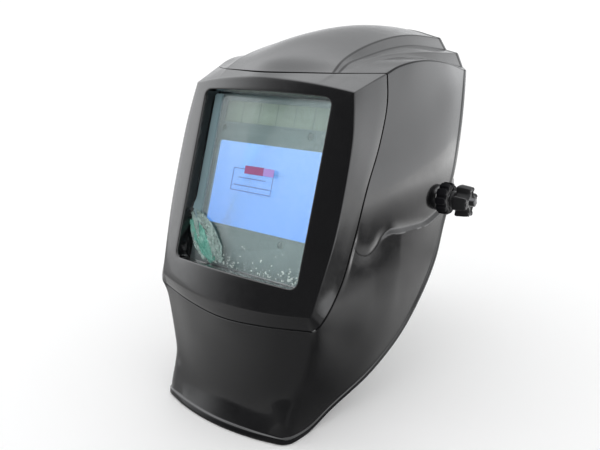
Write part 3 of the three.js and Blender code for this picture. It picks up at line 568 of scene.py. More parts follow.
PAINTED_REFLECTION_PALE = printed("painted_reflection_pale", (0.24, 0.40, 0.78), rough=0.4, lighter=1.1)
PRINT_RED = printed("print_red", (0.27, 0.075, 0.19), grain=0.6, lighter=1.3)
# Pale bars that paint the sticker's reflection in the filter.
PRINT_PINK = printed("print_pink", (0.36, 0.24, 0.58), grain=0.6)
MARKS = printed("pale_marks", (0.55, 0.55, 0.55))

# ---------------------------------------------------------------- shell surface
# Guides run from the front frame's seam back to the free edge, from the crown's centre line
# down the left side to the chin's centre line. The second value marks a crease.
CHIN_Z = -168.0
THICKNESS = 2.6
GUIDES = [
    ([[0, 16, 76], [0, 25, 85], [0, 48, 95.5], [0, 84, 103], [0, 130, 107.5], [0, 178, 107],
      [0, 214, 104]], False),
    ([[48, 28.6, 76], [46.5, 42, 83.3], [44.5, 69, 91.2], [42, 112, 98], [40, 151, 100],
      [38, 207, 97]], True),
    ([[51, 31, 76], [50.5, 43, 81.5], [50, 63, 84.8], [48, 102, 89.8], [46, 140, 91.6], [42, 212, 87]], True),
    ([[56, 34, 76], [56, 56, 82.6], [57, 84, 86], [59, 107, 86.8], [60.5, 140, 87], [60, 196, 85]], True),
    ([[60, 36.6, 76], [60, 58, 82], [62, 86, 84.6], [65, 112, 84.2], [67, 145, 80.5], [66, 194, 74]], True),
    ([[77, 50, 76], [79, 61, 80], [82, 76, 82.7], [84, 94, 83.2], [85.5, 122, 80.4], [84.5, 159, 73]], True),
    ([[78.3, 49.5, 61], [83.5, 75, 60], [87.5, 100, 58], [90.5, 123, 57], [91.3, 144, 56]], False),
    ([[80, 38.6, 31], [86, 64, 30], [91.3, 88, 29], [94.6, 110, 29], [96, 131, 29]], False),
    ([[82, 22, 6], [88.3, 48, 2], [92.8, 73, 0], [96.2, 97, 0], [97.6, 121, 2]], False),
    ([[82, 4, -34], [86, 26, -35], [89.6, 50, -36], [92.6, 76, -37], [95, 107, -36]], False),
    ([[80.5, -6, -57], [85, 16, -58], [89.2, 45, -60], [93, 73, -61], [96, 95, -62]], False),
    ([[77.2, -20, -77], [80.5, 4, -82], [84.5, 25, -93], [87.5, 48, -102], [88.5, 70, -110]], False),
    ([[75.4, -22.3, -80.8], [76.5, 0, -95], [78.5, 17, -110], [79.5, 30, -124], [78, 42, -138]], False),
    ([[73.3, -23.4, -83], [71.5, -11, -112], [70.5, -3, -133], [66, 3, -158]], False),
    ([[71, -23.5, -84.5], [69.4, -17, -112], [66, -15, -133], [62.8, -15, -152], [61, -15, CHIN_Z]], False),
    ([[69, -23.2, -85.2], [67.6, -22.2, -105], [63.2, -24, -125], [59.4, -26.8, -136], [57.6, -31.6, -146],
      [58.2, -35.2, -157], [59.5, -36.5, CHIN_Z]], True),
    ([[36, -31, -88], [35, -30.5, -110], [33, -31.5, -132], [32, -36, -152], [32, -44, CHIN_Z]], False),
    ([[0, -34.5, -90], [0, -33, -110], [0, -33.8, -131], [0, -38, -151], [0, -47, CHIN_Z]], False),
]
TOP_CORNER = 5  # the guide at the front frame's upper corner
SIDE_END = 13  # the face's side edge ends half way between this guide and the next
# How many columns of points lie between each guide and the next.
STEPS = [22, 3, 4, 4, 8, 8, 12, 16, 36, 26, 12, 5, 5, 5, 6, 12, 12]
CREASE_REACH = 1.3  # half width of a rounded crease
CHIN_CORNER = 15  # the guide down the chin's corner, whose crease widens towards the free edge
CHIN_CORNER_REACH = 8.0
BODY_ROWS = 84
# How far from the free edge the last rows lie.
EDGE_DISTANCES = [7.0, 6.2, 5.5, 5.1, 4.7, 4.2, 3.4, 2.4, 1.5]
# Where the crisp line below the side panel runs, on y and z.
PANEL_EDGE = uniform_spline([[14, 26], [9.5, 8], [7.4, -3.5], [6.7, -13.3], [7, -21.3], [7.9, -30.3],
                             [11.4, -37.2], [20, -40.7], [28.4, -37.1], [34, -31.5], [40.2, -28.6],
                             [48, -29.3], [57.3, -30.1], [70, -30.6], [82.3, -30.4], [97.6, -26],
                             [116, -18]], per=8)
SHOULDER_REACH = (9, -36)  # how far the panel's proud shoulder fades out, inside and outside its edge
PANEL_STEP = 1.7
JAW_STEP = 3.2
JAW_FILLET = 9
BEAD = 1.0
PAINTED_CREASE_SHADE = {1: 0.9, 2: 0.8, 3: 0.5, 4: 0.4, 5: 0.9}  # painted shade in the crown's creases, by guide: how far their gloss is dulled so they read darker
SHORT_CREASE = 0.6  # creases with less painted shade than this fade out at both ends
DULL_RIM = 0.6
LIP_ROWS = 3  # a loop's points on the seam's lip, before those on the skin
CAP_ANGLES = (30, 60, 90, 120, 150)
RIM_FROM = 5  # the first edge distance that lies on the dull rim


def inside_panel(points):
    """How far points lie above and behind the crisp line where the side panel ends."""
    here = points[..., None, 1:]
    start, step = PANEL_EDGE[:-1], np.diff(PANEL_EDGE, axis=0)
    share = np.clip(((here - start) * step).sum(-1) / (step ** 2).sum(-1), 0, 1)
    distance = np.linalg.norm(here - (start + share[..., None] * step), axis=-1)
    side = np.sign(step[..., 0] * (here - start)[..., 1] - step[..., 1] * (here - start)[..., 0])
    nearest = distance.argmin(-1)[..., None]
    return np.take_along_axis(distance * side, nearest, -1)[..., 0]


def side_swell(points, run):
    """In front the side panel stands proud of its edge; behind, the jaw does."""
    inside = inside_panel(points)
    shoulder = np.clip(1 - inside / np.where(inside > 0, *SHOULDER_REACH), 0, 1) ** 2
    fillet = np.clip(1 - inside / JAW_FILLET, 0, 1) ** 2
    jaw = (0.3 * fillet + 0.7 * smoothstep(0.8, -1.2, inside)) * smoothstep(-75, -10, inside)
    behind = smoothstep(26, 50, points[..., 1])
    lower = smoothstep(24, -8, points[..., 2])
    panel = PANEL_STEP * shoulder * (1 - behind) * smoothstep(0, 0.05, run)
    return lower * (JAW_STEP * jaw * behind - panel)


def half_columns(guide_points):
    """Columns of points across the left half, each from seam to free edge; also each guide's column."""
    count = len(GUIDES)
    flip = np.array([-1.0, 1, 1])

    def slope(index, side):
        here = guide_points[index]
        before = guide_points[index - 1] if index else guide_points[1] * flip
        after = guide_points[index + 1] if index < count - 1 else guide_points[count - 2] * flip
        back, forth = here - before, after - here
        b = np.linalg.norm(back, axis=-1, keepdims=True)
        f = np.linalg.norm(forth, axis=-1, keepdims=True)
        if GUIDES[index][1]:
            return forth / f if side > 0 else back / b
        return (back * f / b + forth * b / f) / (b + f)

    def reach(index, other):
        if not GUIDES[index][1]:
            return 0.0
        span = np.linalg.norm(guide_points[index] - guide_points[other], axis=-1)
        wide = CREASE_REACH
        if index == CHIN_CORNER:
            wide = wide + (CHIN_CORNER_REACH - wide) * np.linspace(0, 1, len(span)) ** 1.5
        return np.minimum(wide / span, 0.4)

    def patch(index, t):
        start, end = guide_points[index], guide_points[index + 1]
        span = np.linalg.norm(end - start, axis=-1, keepdims=True)
        t = np.broadcast_to(t, start.shape[:1])[:, None]
        return cubic(start, end, span * slope(index, 1), span * slope(index + 1, -1), t)

    columns, at_guide = [], [0]
    for i, steps in enumerate(STEPS):
        low, high = reach(i, i + 1), 1 - reach(i + 1, i)
        for k in range(steps):
            columns.append(patch(i, low + (high - low) * k / steps))
        if i + 1 < count - 1 and GUIDES[i + 1][1]:
            start, corner = patch(i, high), guide_points[i + 1]
            end = patch(i + 1, reach(i + 1, i + 2))
            columns.append(start)
            for t in (0.25, 0.5, 0.75):
                columns.append(bend(start, corner, end, t))
            at_guide.append(len(columns) - 2)
        else:
            at_guide.append(len(columns))
    columns.append(guide_points[-1])
    return np.array(columns), at_guide


def shell_grid():
    lines = [centripetal(points, per=24) for points, _ in GUIDES]
    shares = []
    for line in lines:
        length = length_of(line)
        body = np.linspace(0, 1, BODY_ROWS) ** 1.25 * (1 - (EDGE_DISTANCES[0] + 1.5) / length)
        shares.append(np.concatenate([body, [1 - d / length for d in EDGE_DISTANCES], [1.0]]))
    guide_points = [along(line, share) for line, share in zip(lines, shares)]
    half, at_guide = half_columns(guide_points)
    run = np.mean(shares, axis=0)[None, :]
    half[..., 0] += np.where(half[..., 0] > 30, side_swell(half, run), 0)
    half[..., 2] = np.maximum(half[..., 2], CHIN_Z)
    mirrored = half[1:-1][::-1] * np.array([-1.0, 1, 1])
    return np.concatenate([half, mirrored]), at_guide, len(half)


def unit(v):
    return v / np.maximum(np.linalg.norm(v, axis=-1, keepdims=True), 1e-9)


GRID, AT_GUIDE, HALF_COLUMNS = shell_grid()
NORMALS = unit(np.cross(np.roll(GRID, -1, axis=0) - np.roll(GRID, 1, axis=0), np.gradient(GRID, axis=1)))


def shell_sections():
    """Closed loops for every column: the seam's lip, the skin, the rolled rim and the inner face."""
    rows = GRID.shape[1]
    outer, normal = GRID[:, :-1], NORMALS[:, :-1]
    distance = np.concatenate([np.full(rows - 1 - len(EDGE_DISTANCES), 99.0), EDGE_DISTANCES])
    lower = 0.45 + 0.55 * smoothstep(-40, -80, GRID[:, -1, 2])[:, None]
    proud = BEAD * (1 - smoothstep(4.3, 5.4, distance))[None, :] * lower
    rim_tangent = unit(GRID[:, -1] - GRID[:, -3])
    skin = outer + normal * proud[..., None]
    inside = outer - normal * THICKNESS
    top, bottom = skin[:, -1], inside[:, -1]
    middle, half = (top + bottom) / 2, (top - bottom) / 2
    cap = [middle + math.cos(a) * half + math.sin(a) * EDGE_DISTANCES[-1] * rim_tangent
           for a in np.radians(CAP_ANGLES)]
    seam, seam_normal = skin[:, 0], normal[:, 0]
    step = unit(skin[:, 1] - seam)
    lip = [seam - 0.9 * seam_normal, seam - 0.28 * seam_normal + 0.08 * step, seam + 0.3 * step]
    inner = inside[:, ::-1][:, ::2]
    loop = np.concatenate([np.stack(lip, 1), skin[:, 1:], np.stack(cap, 1), inner], axis=1)
    loop[..., 2] = np.maximum(loop[..., 2], CHIN_Z)
    return loop


def shell_crease_shade_and_rim_dulling(per_column):
    """How dull each point of the shell is: most in the crown's creases, where the dulling is painted shade that
    makes them read darker, and on the rolled rim.
    """
    column = np.zeros((len(GRID), 1))
    for guide, amount in PAINTED_CREASE_SHADE.items():
        for c in range(AT_GUIDE[guide] - 1, AT_GUIDE[guide] + 2):
            column[[c, -c]] = amount
    skin_rows = GRID.shape[1] - 2
    run = np.linspace(0, 1, skin_rows) * np.ones((len(GRID), 1))
    short = smoothstep(0.12, 0.40, run) * smoothstep(0.85, 0.60, run)
    crease_shade_and_rim_dulling = np.zeros((len(GRID), per_column))
    rim = LIP_ROWS + skin_rows
    crease_shade_and_rim_dulling[:, LIP_ROWS:rim] = column * np.where(column < SHORT_CREASE, short, 1.0)
    rim_rows = slice(rim - len(EDGE_DISTANCES) + RIM_FROM, rim + len(CAP_ANGLES) + 1)
    crease_shade_and_rim_dulling[:, rim_rows] = np.maximum(crease_shade_and_rim_dulling[:, rim_rows], DULL_RIM)
    return crease_shade_and_rim_dulling


def build_shell():
    sections = shell_sections()
    shell = ring_mesh("shell_moulding", sections, sharp=50)
    # The creases' painted shade and the rim's dulling ride on the mesh as a point attribute.
    attribute = shell.data.attributes.new("crease_shade_and_rim_dulling", "FLOAT", "POINT")
    attribute.data.foreach_set("value", shell_crease_shade_and_rim_dulling(sections.shape[1]).ravel())
    finish_mesh(shell, BLACK, "shell")


build_shell()

# ---------------------------------------------------------------- front frame
# Rounded rectangles on the face: half width, half height and corner radius.
WINDOW = (56.6, 63.3, 6.0)
POCKET = (58.8, 67.1, 3.0)
POCKET_OUTER = (60.8, 69.1, 4.0)
POCKET_DEPTH = 28.5
POCKET_FRONT = 3  # where the pocket's walls leave the face's back
LENS_SEAT = 5.5
FACE_BULGE, FACE_HALF = 9.9, 75.0
SEAM = 0.8
FACE_SIDE = uniform_spline([[70.8, 68.3], [73.4, 55], [76, 36], [77, 5], [76.5, -25], [74, -51], [70, -79]])


def face_top(share):
    """The face's upper edge, from its middle (0) to its corner (1)."""
    return np.array([70.8 * share, 72.9 - 4.6 * share ** 2])


def face_bottom(share):
    return np.array([70 * share, -85.6 + 6.6 * share ** 2])


def bulge(across_mm):
    return FACE_BULGE * (1 - (np.asarray(across_mm) / FACE_HALF) ** 2)


def on_rectangle(x, up, half, top, corner):
    """Where a ray from the window's centre meets a rounded rectangle."""
    scale = min(half / max(abs(x), 1e-6), top / max(abs(up), 1e-6))
    px, pu = abs(x) * scale, abs(up) * scale
    cx, cu = half - corner, top - corner
    if px > cx and pu > cu:
        direction = np.array([px, pu]) / math.hypot(px, pu)
        centre = np.array([cx, cu])
        b = direction @ centre
        reach = b + math.sqrt(max(b * b - centre @ centre + corner ** 2, 0))
        px, pu = direction * reach
    return math.copysign(px, x), math.copysign(pu, up)


def frame_columns():
    """Seam points, their inner twins and the face's edge for every column round the frame."""
    top, side = AT_GUIDE[TOP_CORNER], (AT_GUIDE[SIDE_END] + AT_GUIDE[SIDE_END + 1]) // 2
    seam = GRID[:, 0].copy()
    inner = seam - NORMALS[:, 0] * THICKNESS
    edge = np.zeros((len(seam), 2))
    for c in range(HALF_COLUMNS):
        if c <= top:
            edge[c] = face_top(min(1, seam[c, 0] / seam[top, 0]))
        elif c < side:
            share = (seam[top, 2] - seam[c, 2]) / (seam[top, 2] - seam[side, 2])
            at = np.clip(share, 0, 1) * (len(FACE_SIDE) - 1)
            edge[c] = [np.interp(at, range(len(FACE_SIDE)), FACE_SIDE[:, k]) for k in (0, 1)]
        else:
            edge[c] = face_bottom(min(1, seam[c, 0] / seam[side, 0]))
    edge[HALF_COLUMNS:] = edge[1:HALF_COLUMNS - 1][::-1] * np.array([-1, 1])
    return seam, inner, edge


def frame_sections():
    """Closed loops round the frame, closer together at the window's corners."""
    seam, inner, edge = frame_columns()
    count = len(seam)
    half, top, radius = WINDOW
    wanted = []
    for c in range(count):
        x, up = on_rectangle(*edge[c], *WINDOW)
        corner = abs(x) > half - radius - 4 and abs(up) > top - radius - 4
        wanted += [c + f for f in ((0, 0.2, 0.4, 0.6, 0.8) if corner else (0,))]
    sections = []
    for at in wanted:
        c, f = int(at), at % 1
        d = (c + 1) % count
        s, s_in, e = [(1 - f) * v[c] + f * v[d] for v in (seam, inner, edge)]
        x, up = e
        wx, wu = on_rectangle(x, up, *WINDOW)
        px, pu = on_rectangle(x, up, *POCKET)
        qx, qu = on_rectangle(x, up, *POCKET_OUTER)
        face_edge = on_face(x, up, -bulge(x))
        away = unit(face_edge - s) * SEAM
        between = [(wx + (x - wx) * t, wu + (up - wu) * t) for t in (0.25, 0.5, 0.75)]
        face = [on_face(a, b, -bulge(a)) for a, b in between]
        ridge = [on_face(wx, wu, 0.6 * LENS_SEAT), on_face(wx, wu, -bulge(wx)), *face, face_edge]
        flank = [face_edge + (s + away - face_edge) * t for t in (0.35, 0.7)]
        section = [
            *ridge, *flank, s + away, s_in + away,
            on_face(x * 0.96, up * 0.96, POCKET_FRONT - bulge(x)),
            on_face(qx, qu, POCKET_FRONT - bulge(qx) * (1 if abs(pu) > top else 0.9)),
            on_face(qx, qu, POCKET_DEPTH), on_face(px, pu, POCKET_DEPTH),
            on_face(px, pu, LENS_SEAT), on_face(wx, wu, LENS_SEAT),
        ]
        radii = [0, 1.5, 0, 0, 0, 1.0, 0, 0, 0.5, 0, 0, 0, 0.6, 0.6, 0, 0]
        sections.append(rounded(section, radii, steps=4))
    return np.array(sections)


front_frame = ring_mesh("front_bezel", frame_sections(), sharp=50)
finish_mesh(front_frame, BLACK, "front_frame")

# ---------------------------------------------------------------- window stack
def sheet_mesh(name, points, keep, thickness, sharp=60):
    """A grid of points made into a thin closed sheet; `keep` says which cells stay."""
    rows, columns = points.shape[:2]
    faces = [(i * columns + j, i * columns + j + 1, (i + 1) * columns + j + 1, (i + 1) * columns + j)
             for i in range(rows - 1) for j in range(columns - 1) if keep[i, j]]
    obj = mesh_object(name, points.reshape(-1, 3), faces, sharp)
    with editing(obj.data) as bm:
        bmesh.ops.delete(bm, geom=[v for v in bm.verts if not v.link_faces], context="VERTS")
    apply_modifier(obj, "SOLIDIFY", thickness=thickness * MM, offset=0.0)
    mark_sharp(obj.data, sharp)
    return obj


def fractal(points, size, seed):
    """Smooth seeded noise, about -1 to 1, for an array of points in millimetres."""
    shift = Vector((seed, 2 * seed, 3 * seed))
    flat = np.asarray(points, float).reshape(-1, 3)
    values = [noise.fractal(Vector(p / size) + shift, 0.9, 2.1, 3) for p in flat]
    return np.array(values).reshape(np.shape(points)[:-1])


FILM_HALF, FILM_TOP, FILM_DEPTH = 55.6, 62.3, 5.35
PEEL_START, PEEL_END = np.array([-FILM_HALF, -27.0]), np.array([-31.0, -FILM_TOP])
PEEL_ALONG = unit(PEEL_END - PEEL_START)
PEEL_INTO_FILM = np.array([-PEEL_ALONG[1], PEEL_ALONG[0]])


def protective_film():
    """Clear film over the cover lens, peeled back at its lower corner and blistered along its lower edge."""
    x, up = np.meshgrid(np.linspace(-FILM_HALF, FILM_HALF, 90), np.linspace(-FILM_TOP, FILM_TOP, 100))
    inward = (x - PEEL_START[0]) * PEEL_INTO_FILM[0] + (up - PEEL_START[1]) * PEEL_INTO_FILM[1]
    flat = np.stack([x, up, np.zeros_like(x)], -1)
    swell = 0.03 * fractal(flat, 26, 1.0) + 0.008 * fractal(flat, 7, 2.0)
    low_edge = smoothstep(-46, -60, up) * smoothstep(-30, -5, x)
    blister = low_edge * np.maximum(fractal(flat, 3.4, 3.0) - 0.10, 0) * 0.5
    lift = 2.2 * (1 - smoothstep(0, 7, inward)) * (1 + 0.45 * fractal(flat, 4, 4.0))
    points = on_face(x, up, FILM_DEPTH - np.abs(swell) - blister - lift)
    inside = inward > 0
    keep = inside[:-1, :-1] & inside[1:, :-1] & inside[:-1, 1:] & inside[1:, 1:]
    return sheet_mesh("protective_film", points, keep, thickness=0.1)


def crumpled(name, start, end, widths, pleats, height, depth, seed, bow=0.0, thickness=0.14):
    """A ragged strip of film from start to end on the face, gathered into lengthwise pleats."""
    start, end = np.array(start, float), np.array(end, float)
    axis = unit(end - start)
    side = np.array([-axis[1], axis[0]])
    shape = (64, 44)
    t = np.linspace(0, 1, shape[0])[:, None]
    v = np.linspace(-1, 1, shape[1])[None, :]
    width = np.interp(t[:, 0], np.linspace(0, 1, len(widths)), widths)[:, None]
    places = np.stack([np.broadcast_to(v * 9, shape), np.broadcast_to(t * 9, shape), np.zeros(shape)], -1)
    ragged = fractal(places, 1.3, seed)
    flat = start + (end - start) * t[..., None] + side * (bow * np.sin(math.pi * t))[..., None]
    flat = flat + side * (v * width * (1 + 0.42 * ragged))[..., None]
    flat = flat + axis * (ragged * 2.6 * (np.abs(2 * t - 1) ** 3))[..., None]
    pleat = np.abs(np.sin(math.pi * (pleats * (v + 1) / 2 + 0.35 * np.sin(5 * t + seed))))
    rise = height * (0.35 + 0.65 * np.sin(math.pi * np.clip(t, 0.05, 0.95))) * pleat
    places = np.concatenate([flat, np.zeros((*shape, 1))], -1)
    rise = rise + 0.55 * height * fractal(places, 1.7, seed + 5)
    points = on_face(flat[..., 0], flat[..., 1], depth - rise)
    return sheet_mesh(name, points, np.full(shape, True), thickness, sharp=75)


BLISTER_BASE = 4.72  # the depth of a bubble's rim, just proud of the film
BLISTER_CORNERS = 9


def blisters():
    """Small trapped bubbles and flecks on the film, thickest along its lower edge."""
    random = np.random.default_rng(7)
    spots = [(14.9, 29.9, 0.5), (48.7, 39.4, 0.6), (0.6, -46.3, 0.8), (17.0, -52.3, 0.7), (29.0, -46.3, 0.7),
             (34.6, -43.8, 0.6), (-3, 47, 0.35), (31, 11, 0.35), (-12, -41, 0.4), (8, -38, 0.35)]
    for _ in range(88):
        spots.append((random.uniform(-27, 53), -61.5 + random.exponential(3.2), random.uniform(0.3, 0.95)))
    for _ in range(26):
        spots.append((random.normal(47, 4), random.normal(-57, 4), random.uniform(0.3, 1.0)))
    for _ in range(26):
        spots.append((random.normal(-26, 5), random.normal(-54, 6), random.uniform(0.3, 0.9)))
    points, faces = [], []
    for x, up, radius in spots:
        x, up = min(max(x, -50), 54), min(max(up, -61.4), 60)
        count, first = BLISTER_CORNERS, len(points)
        turn = np.arange(count) / count * 2 * math.pi
        reach = radius * random.uniform(0.55, 1.25, count)
        squeeze, spin = random.uniform(0.4, 1.0), random.uniform(0, math.pi)
        dx, du = reach * np.cos(turn), reach * np.sin(turn) * squeeze
        rx, ru = dx * math.cos(spin) - du * math.sin(spin), dx * math.sin(spin) + du * math.cos(spin)
        points += list(on_face(x + rx, up + ru, np.full(count, BLISTER_BASE)))
        points.append(on_face(x, up, BLISTER_BASE - 0.45 * radius))
        points.append(on_face(x, up, BLISTER_BASE + 0.06))
        for k in range(count):
            faces.append((first + k, first + (k + 1) % count, first + count))
            faces.append((first + (k + 1) % count, first + k, first + count + 1))
    return mesh_object("film_blisters", points, faces, sharp=80)


def flat_bars(name, bars, depth, thickness=0.06):
    """Thin bars, each given as two ends and a half width on the face."""
    points, faces = [], []
    for (x0, u0), (x1, u1), half in bars:
        a, b = np.array([x0, u0], float), np.array([x1, u1], float)
        axis = unit(b - a)
        side = np.array([-axis[1], axis[0]]) * half
        first = len(points)
        for d in (depth, depth - thickness):
            for p in (a - side, b - side, b + side, a + side):
                points.append(on_face(p[0], p[1], d))
        faces += [tuple(first + k for k in f) for f in
                  ((0, 1, 2, 3), (7, 6, 5, 4), (0, 4, 5, 1), (1, 5, 6, 2), (2, 6, 7, 3), (3, 7, 4, 0))]
    return mesh_object(name, points, faces)


def outline_bars(x0, u0, x1, u1, half):
    corners = ((x0, u0), (x1, u0), (x1, u1), (x0, u1), (x0, u0))
    return [(a, b, half) for a, b in zip(corners, corners[1:])]


def dashes(x0, x1, up, half, seed):
    random = np.random.default_rng(seed)
    bars, x = [], x0
    while x < x1:
        length = random.uniform(0.9, 2.6)
        bars.append(((x, up), (min(x + length, x1), up), half))
        x += length + random.uniform(0.35, 0.7)
    return bars


refine("cover_lens", CLEAR, bevel=0.25, name="cover_lens_pane")
finish_mesh(protective_film(), FILM_CLEAR, "lens_film")
tab = crumpled("pull_tab_film", (-55.0, -34.0), (-27.0, -61.0), (3.6, 5.8, 5.6, 4.4, 2.6), pleats=6,
               height=1.3, depth=4.6, seed=11.0)
finish_mesh(tab, GREEN, "film_pull_tab")
PEELED = (  # start, end, widths, pleats, height, depth and bow
    ((-53.0, -27.0), (-26.0, -57.0), (1.6, 3.8, 3.2, 1.6), 6, 1.3, 4.2, 4.6),
    ((-45.0, -28.5), (-22.5, -59.0), (0.8, 2.8, 3.4, 1.8), 5, 1.2, 4.5, 3.0),
    ((-36.0, -34.0), (-19.0, -60.0), (0.6, 1.8, 2.4, 1.4), 4, 1.0, 4.8, 2.0),
    ((-55.5, -29.0), (-44.0, -47.0), (1.2, 2.2, 1.0), 3, 1.1, 3.9, 1.0),
    ((-54.0, -41.0), (-35.0, -61.0), (1.0, 1.7, 1.2), 3, 0.9, 4.2, -1.6),
)
for k, (*strip, bow) in enumerate(PEELED):
    piece = crumpled(f"peeled_film_{k + 1}", *strip, seed=20.0 + k, bow=bow, thickness=0.1)
    finish_mesh(piece, CRUMPLE, "lens_film", replaces=False)
finish_mesh(blisters(), BLISTER, "lens_film", replaces=False)

# A plain sticker outline on the film, and a painted reflection of it: its faint mirror image, drawn as pale bars
# on the filter.
outline = outline_bars(-23.4, 9.6, 14.0, -6.3, 0.22)
outline += dashes(-17.5, 8.1, 3.3, 0.30, 3) + dashes(-21.1, 12.3, -2.4, 0.30, 4)
for name, bars, depth, material, node in (
    ("sticker_outline", outline, 5.05, PRINT, "lens_film"),
    ("sticker_bar", [((-13.0, 9.3), (4.4, 9.5), 2.9)], 5.0, PRINT_RED, "lens_film"),
    ("sticker_bar_end", [((4.6, 9.5), (14.0, 9.4), 2.7)], 5.0, PRINT_PINK, "lens_film"),
    ("sticker_reflection", outline_bars(-14.0, 8.9, 16.5, -7.6, 0.13), 13.84, PAINTED_REFLECTION_PALE, "lcd_filter_glass"),
):
    finish_mesh(flat_bars(name, bars, depth), material, node, replaces=False)


def both_sides(*rows):
    return [(f"{node}_{side}", *rest) for side in ("left", "right") for node, *rest in rows]


for node, material, bevel in (
    ("adf_front_housing", CARTRIDGE_GREY, 0.35), ("adf_rear_housing", SATIN, 0.4),
    ("lcd_filter_glass", FILTER_GLOW, 0.3), ("solar_cell", STRIP, 0.2), ("circuit_board", BOARD, 0.2),
    ("inner_cover_lens", CLEAR, 0.25), ("shade_knob", GREY, 0.5), ("sensitivity_knob", GREY, 0.4),
    ("delay_knob", GREY, 0.4), ("test_button", RED, 0.4), ("retaining_frame", SATIN, 0.4),
    *((f"arc_sensor_{k}", SENSOR, 0.35) for k in (1, 2, 3, 4)),
    *((f"adf_screw_{k}", STEEL, 0.25) for k in (1, 2, 3, 4)),
    *both_sides(("battery", STEEL, 0.4), ("battery_cap", GREY, 0.35), ("retaining_latch", GREY, 0.35)),
):
    piece = refine(node, material, bevel)
    piece.visible_glossy = node != "lcd_filter_glass"  # the filter's painted glow is not mirrored, so the frame's walls stay black beside the filter


CARTRIDGE_BACK = 22.22


def dial_marks(name, x, up, inner, outer, count):
    """Raised ticks round a knob, over three quarters of a turn."""
    middle = np.array([x, up])
    bars = []
    for angle in np.radians(np.linspace(-135, 135, count)):
        direction = np.array([math.sin(angle), math.cos(angle)])
        bars.append((middle + direction * inner, middle + direction * outer, 0.22))
    marks = flat_bars(name, bars, CARTRIDGE_BACK, thickness=0.3)
    finish_mesh(marks, MARKS, "adf_rear_housing", replaces=False)


dial_marks("shade_ticks", 0, 50, 10.8, 12.3, 9)
dial_marks("sensitivity_ticks", 31, 50, 6.8, 7.9, 7)
dial_marks("delay_ticks", -31, 50, 6.8, 7.9, 7)

# ---------------------------------------------------------------- pivot knobs
PIVOT = joint_point("helmet_tilt")
SIDES = (("left", 1), ("right", -1))


def offset_outline(outline, inset):
    """An outline drawn in by `inset` along its normals."""
    ahead, behind = np.roll(outline, -1, axis=0), np.roll(outline, 1, axis=0)
    tangent = unit(ahead - behind)
    return outline - inset * np.stack([tangent[:, 1], -tangent[:, 0]], -1)


def pivot_solid(name, outline, side, levels, bore):
    """A bored knob about the pivot: an outline on y and z, with an x and an inset for each level."""
    turn = np.arctan2(outline[:, 1], outline[:, 0])
    hole = np.column_stack([bore * np.cos(turn), bore * np.sin(turn)])
    rings = [(x, offset_outline(outline, inset)) for x, inset in levels]
    rings += [(levels[-1][0], hole), (levels[0][0], hole)]
    sections = [np.column_stack([np.full(len(ring), side * x), PIVOT[1:] + ring]) for x, ring in rings]
    return ring_mesh(name, sections, sharp=45)


def repeated_outline(corners, times, steps):
    """A closed outline from (x, y, fillet) corners repeated round the middle."""
    turns = [2 * math.pi * k / times for k in range(times)]
    points = [(a * math.cos(t) - b * math.sin(t), a * math.sin(t) + b * math.cos(t))
              for t in turns for a, b, _ in corners]
    return rounded(points, [fillet for _, _, fillet in corners] * times, steps)


def grip_outline(reach, width, notch):
    """Four broad wings with slightly bowed ends."""
    wing = ((notch, -width * 0.8, 0.8), (reach - 0.7, -width, 1.2), (reach, 0, 3.0),
            (reach - 0.7, width, 1.2), (notch, width * 0.8, 0.8))
    return repeated_outline(wing, times=4, steps=3)


def toothed_outline(radius, depth, teeth):
    tip, root = 0.62, 0.76  # where a tooth's tip ends and its root begins, in shares of half its turn
    tooth = ((-tip, radius, 0.5), (tip, radius, 0.5), (root, radius - depth, 0.35),
             (2 - root, radius - depth, 0.35))
    half = math.pi / teeth
    corners = [(r * math.cos(half * a), r * math.sin(half * a), fillet) for a, r, fillet in tooth]
    return repeated_outline(corners, teeth, steps=2)


def circle_outline(radius, count=48):
    turn = np.arange(count) / count * 2 * math.pi
    return np.column_stack([radius * np.cos(turn), radius * np.sin(turn)])


def turned_size(node):
    """Where a piece about the pivot starts and ends on x, and its radius."""
    low, high = box_mm(node)
    return low[0], high[0], (high[2] - low[2]) / 2


COLLAR_LOW, COLLAR_HIGH, COLLAR_REACH = turned_size("outer_collar_left")
GRIP_LOW, GRIP_HIGH, GRIP_REACH = turned_size("tension_knob_left")
SEAT_LOW, SEAT_HIGH = 92.2, 99.0
COLLAR_LEVELS = (
    (COLLAR_LOW, 1.0), (COLLAR_LOW + 0.5, 0.3), (COLLAR_LOW + 1.2, 0.0), (COLLAR_HIGH - 1.5, 0.0),
    (COLLAR_HIGH - 0.6, 0.5), (COLLAR_HIGH, 1.6), (COLLAR_HIGH - 0.3, 3.6), (COLLAR_HIGH - 1.0, 4.2))
GRIP_LEVELS = (
    (GRIP_HIGH - 10.6, 1.0), (GRIP_HIGH - 10.2, 0.4), (GRIP_HIGH - 9.6, 0.05), (GRIP_HIGH - 9.0, 0.0),
    (GRIP_HIGH - 3.4, 0.5), (GRIP_HIGH - 1.6, 0.8), (GRIP_HIGH - 0.6, 1.3), (GRIP_HIGH, 2.2),
    (GRIP_HIGH - 0.2, 3.2), (GRIP_HIGH - 0.8, 3.9))
HUB_LEVELS = (
    (GRIP_LOW, 1.0), (GRIP_LOW + 0.6, 0.2), (GRIP_LOW + 1.4, 0.0), (GRIP_LOW + 2.2, 0.8),
    (GRIP_LOW + 3.4, 0.8), (GRIP_LOW + 4.4, 0.1), (GRIP_HIGH - 9.4, 0.0))
SEAT_LEVELS = (
    (SEAT_LOW, 0.5), (SEAT_LOW + 0.5, 0.0), (SEAT_HIGH - 0.9, 0.0), (SEAT_HIGH - 0.25, 0.25),
    (SEAT_HIGH, 0.9))

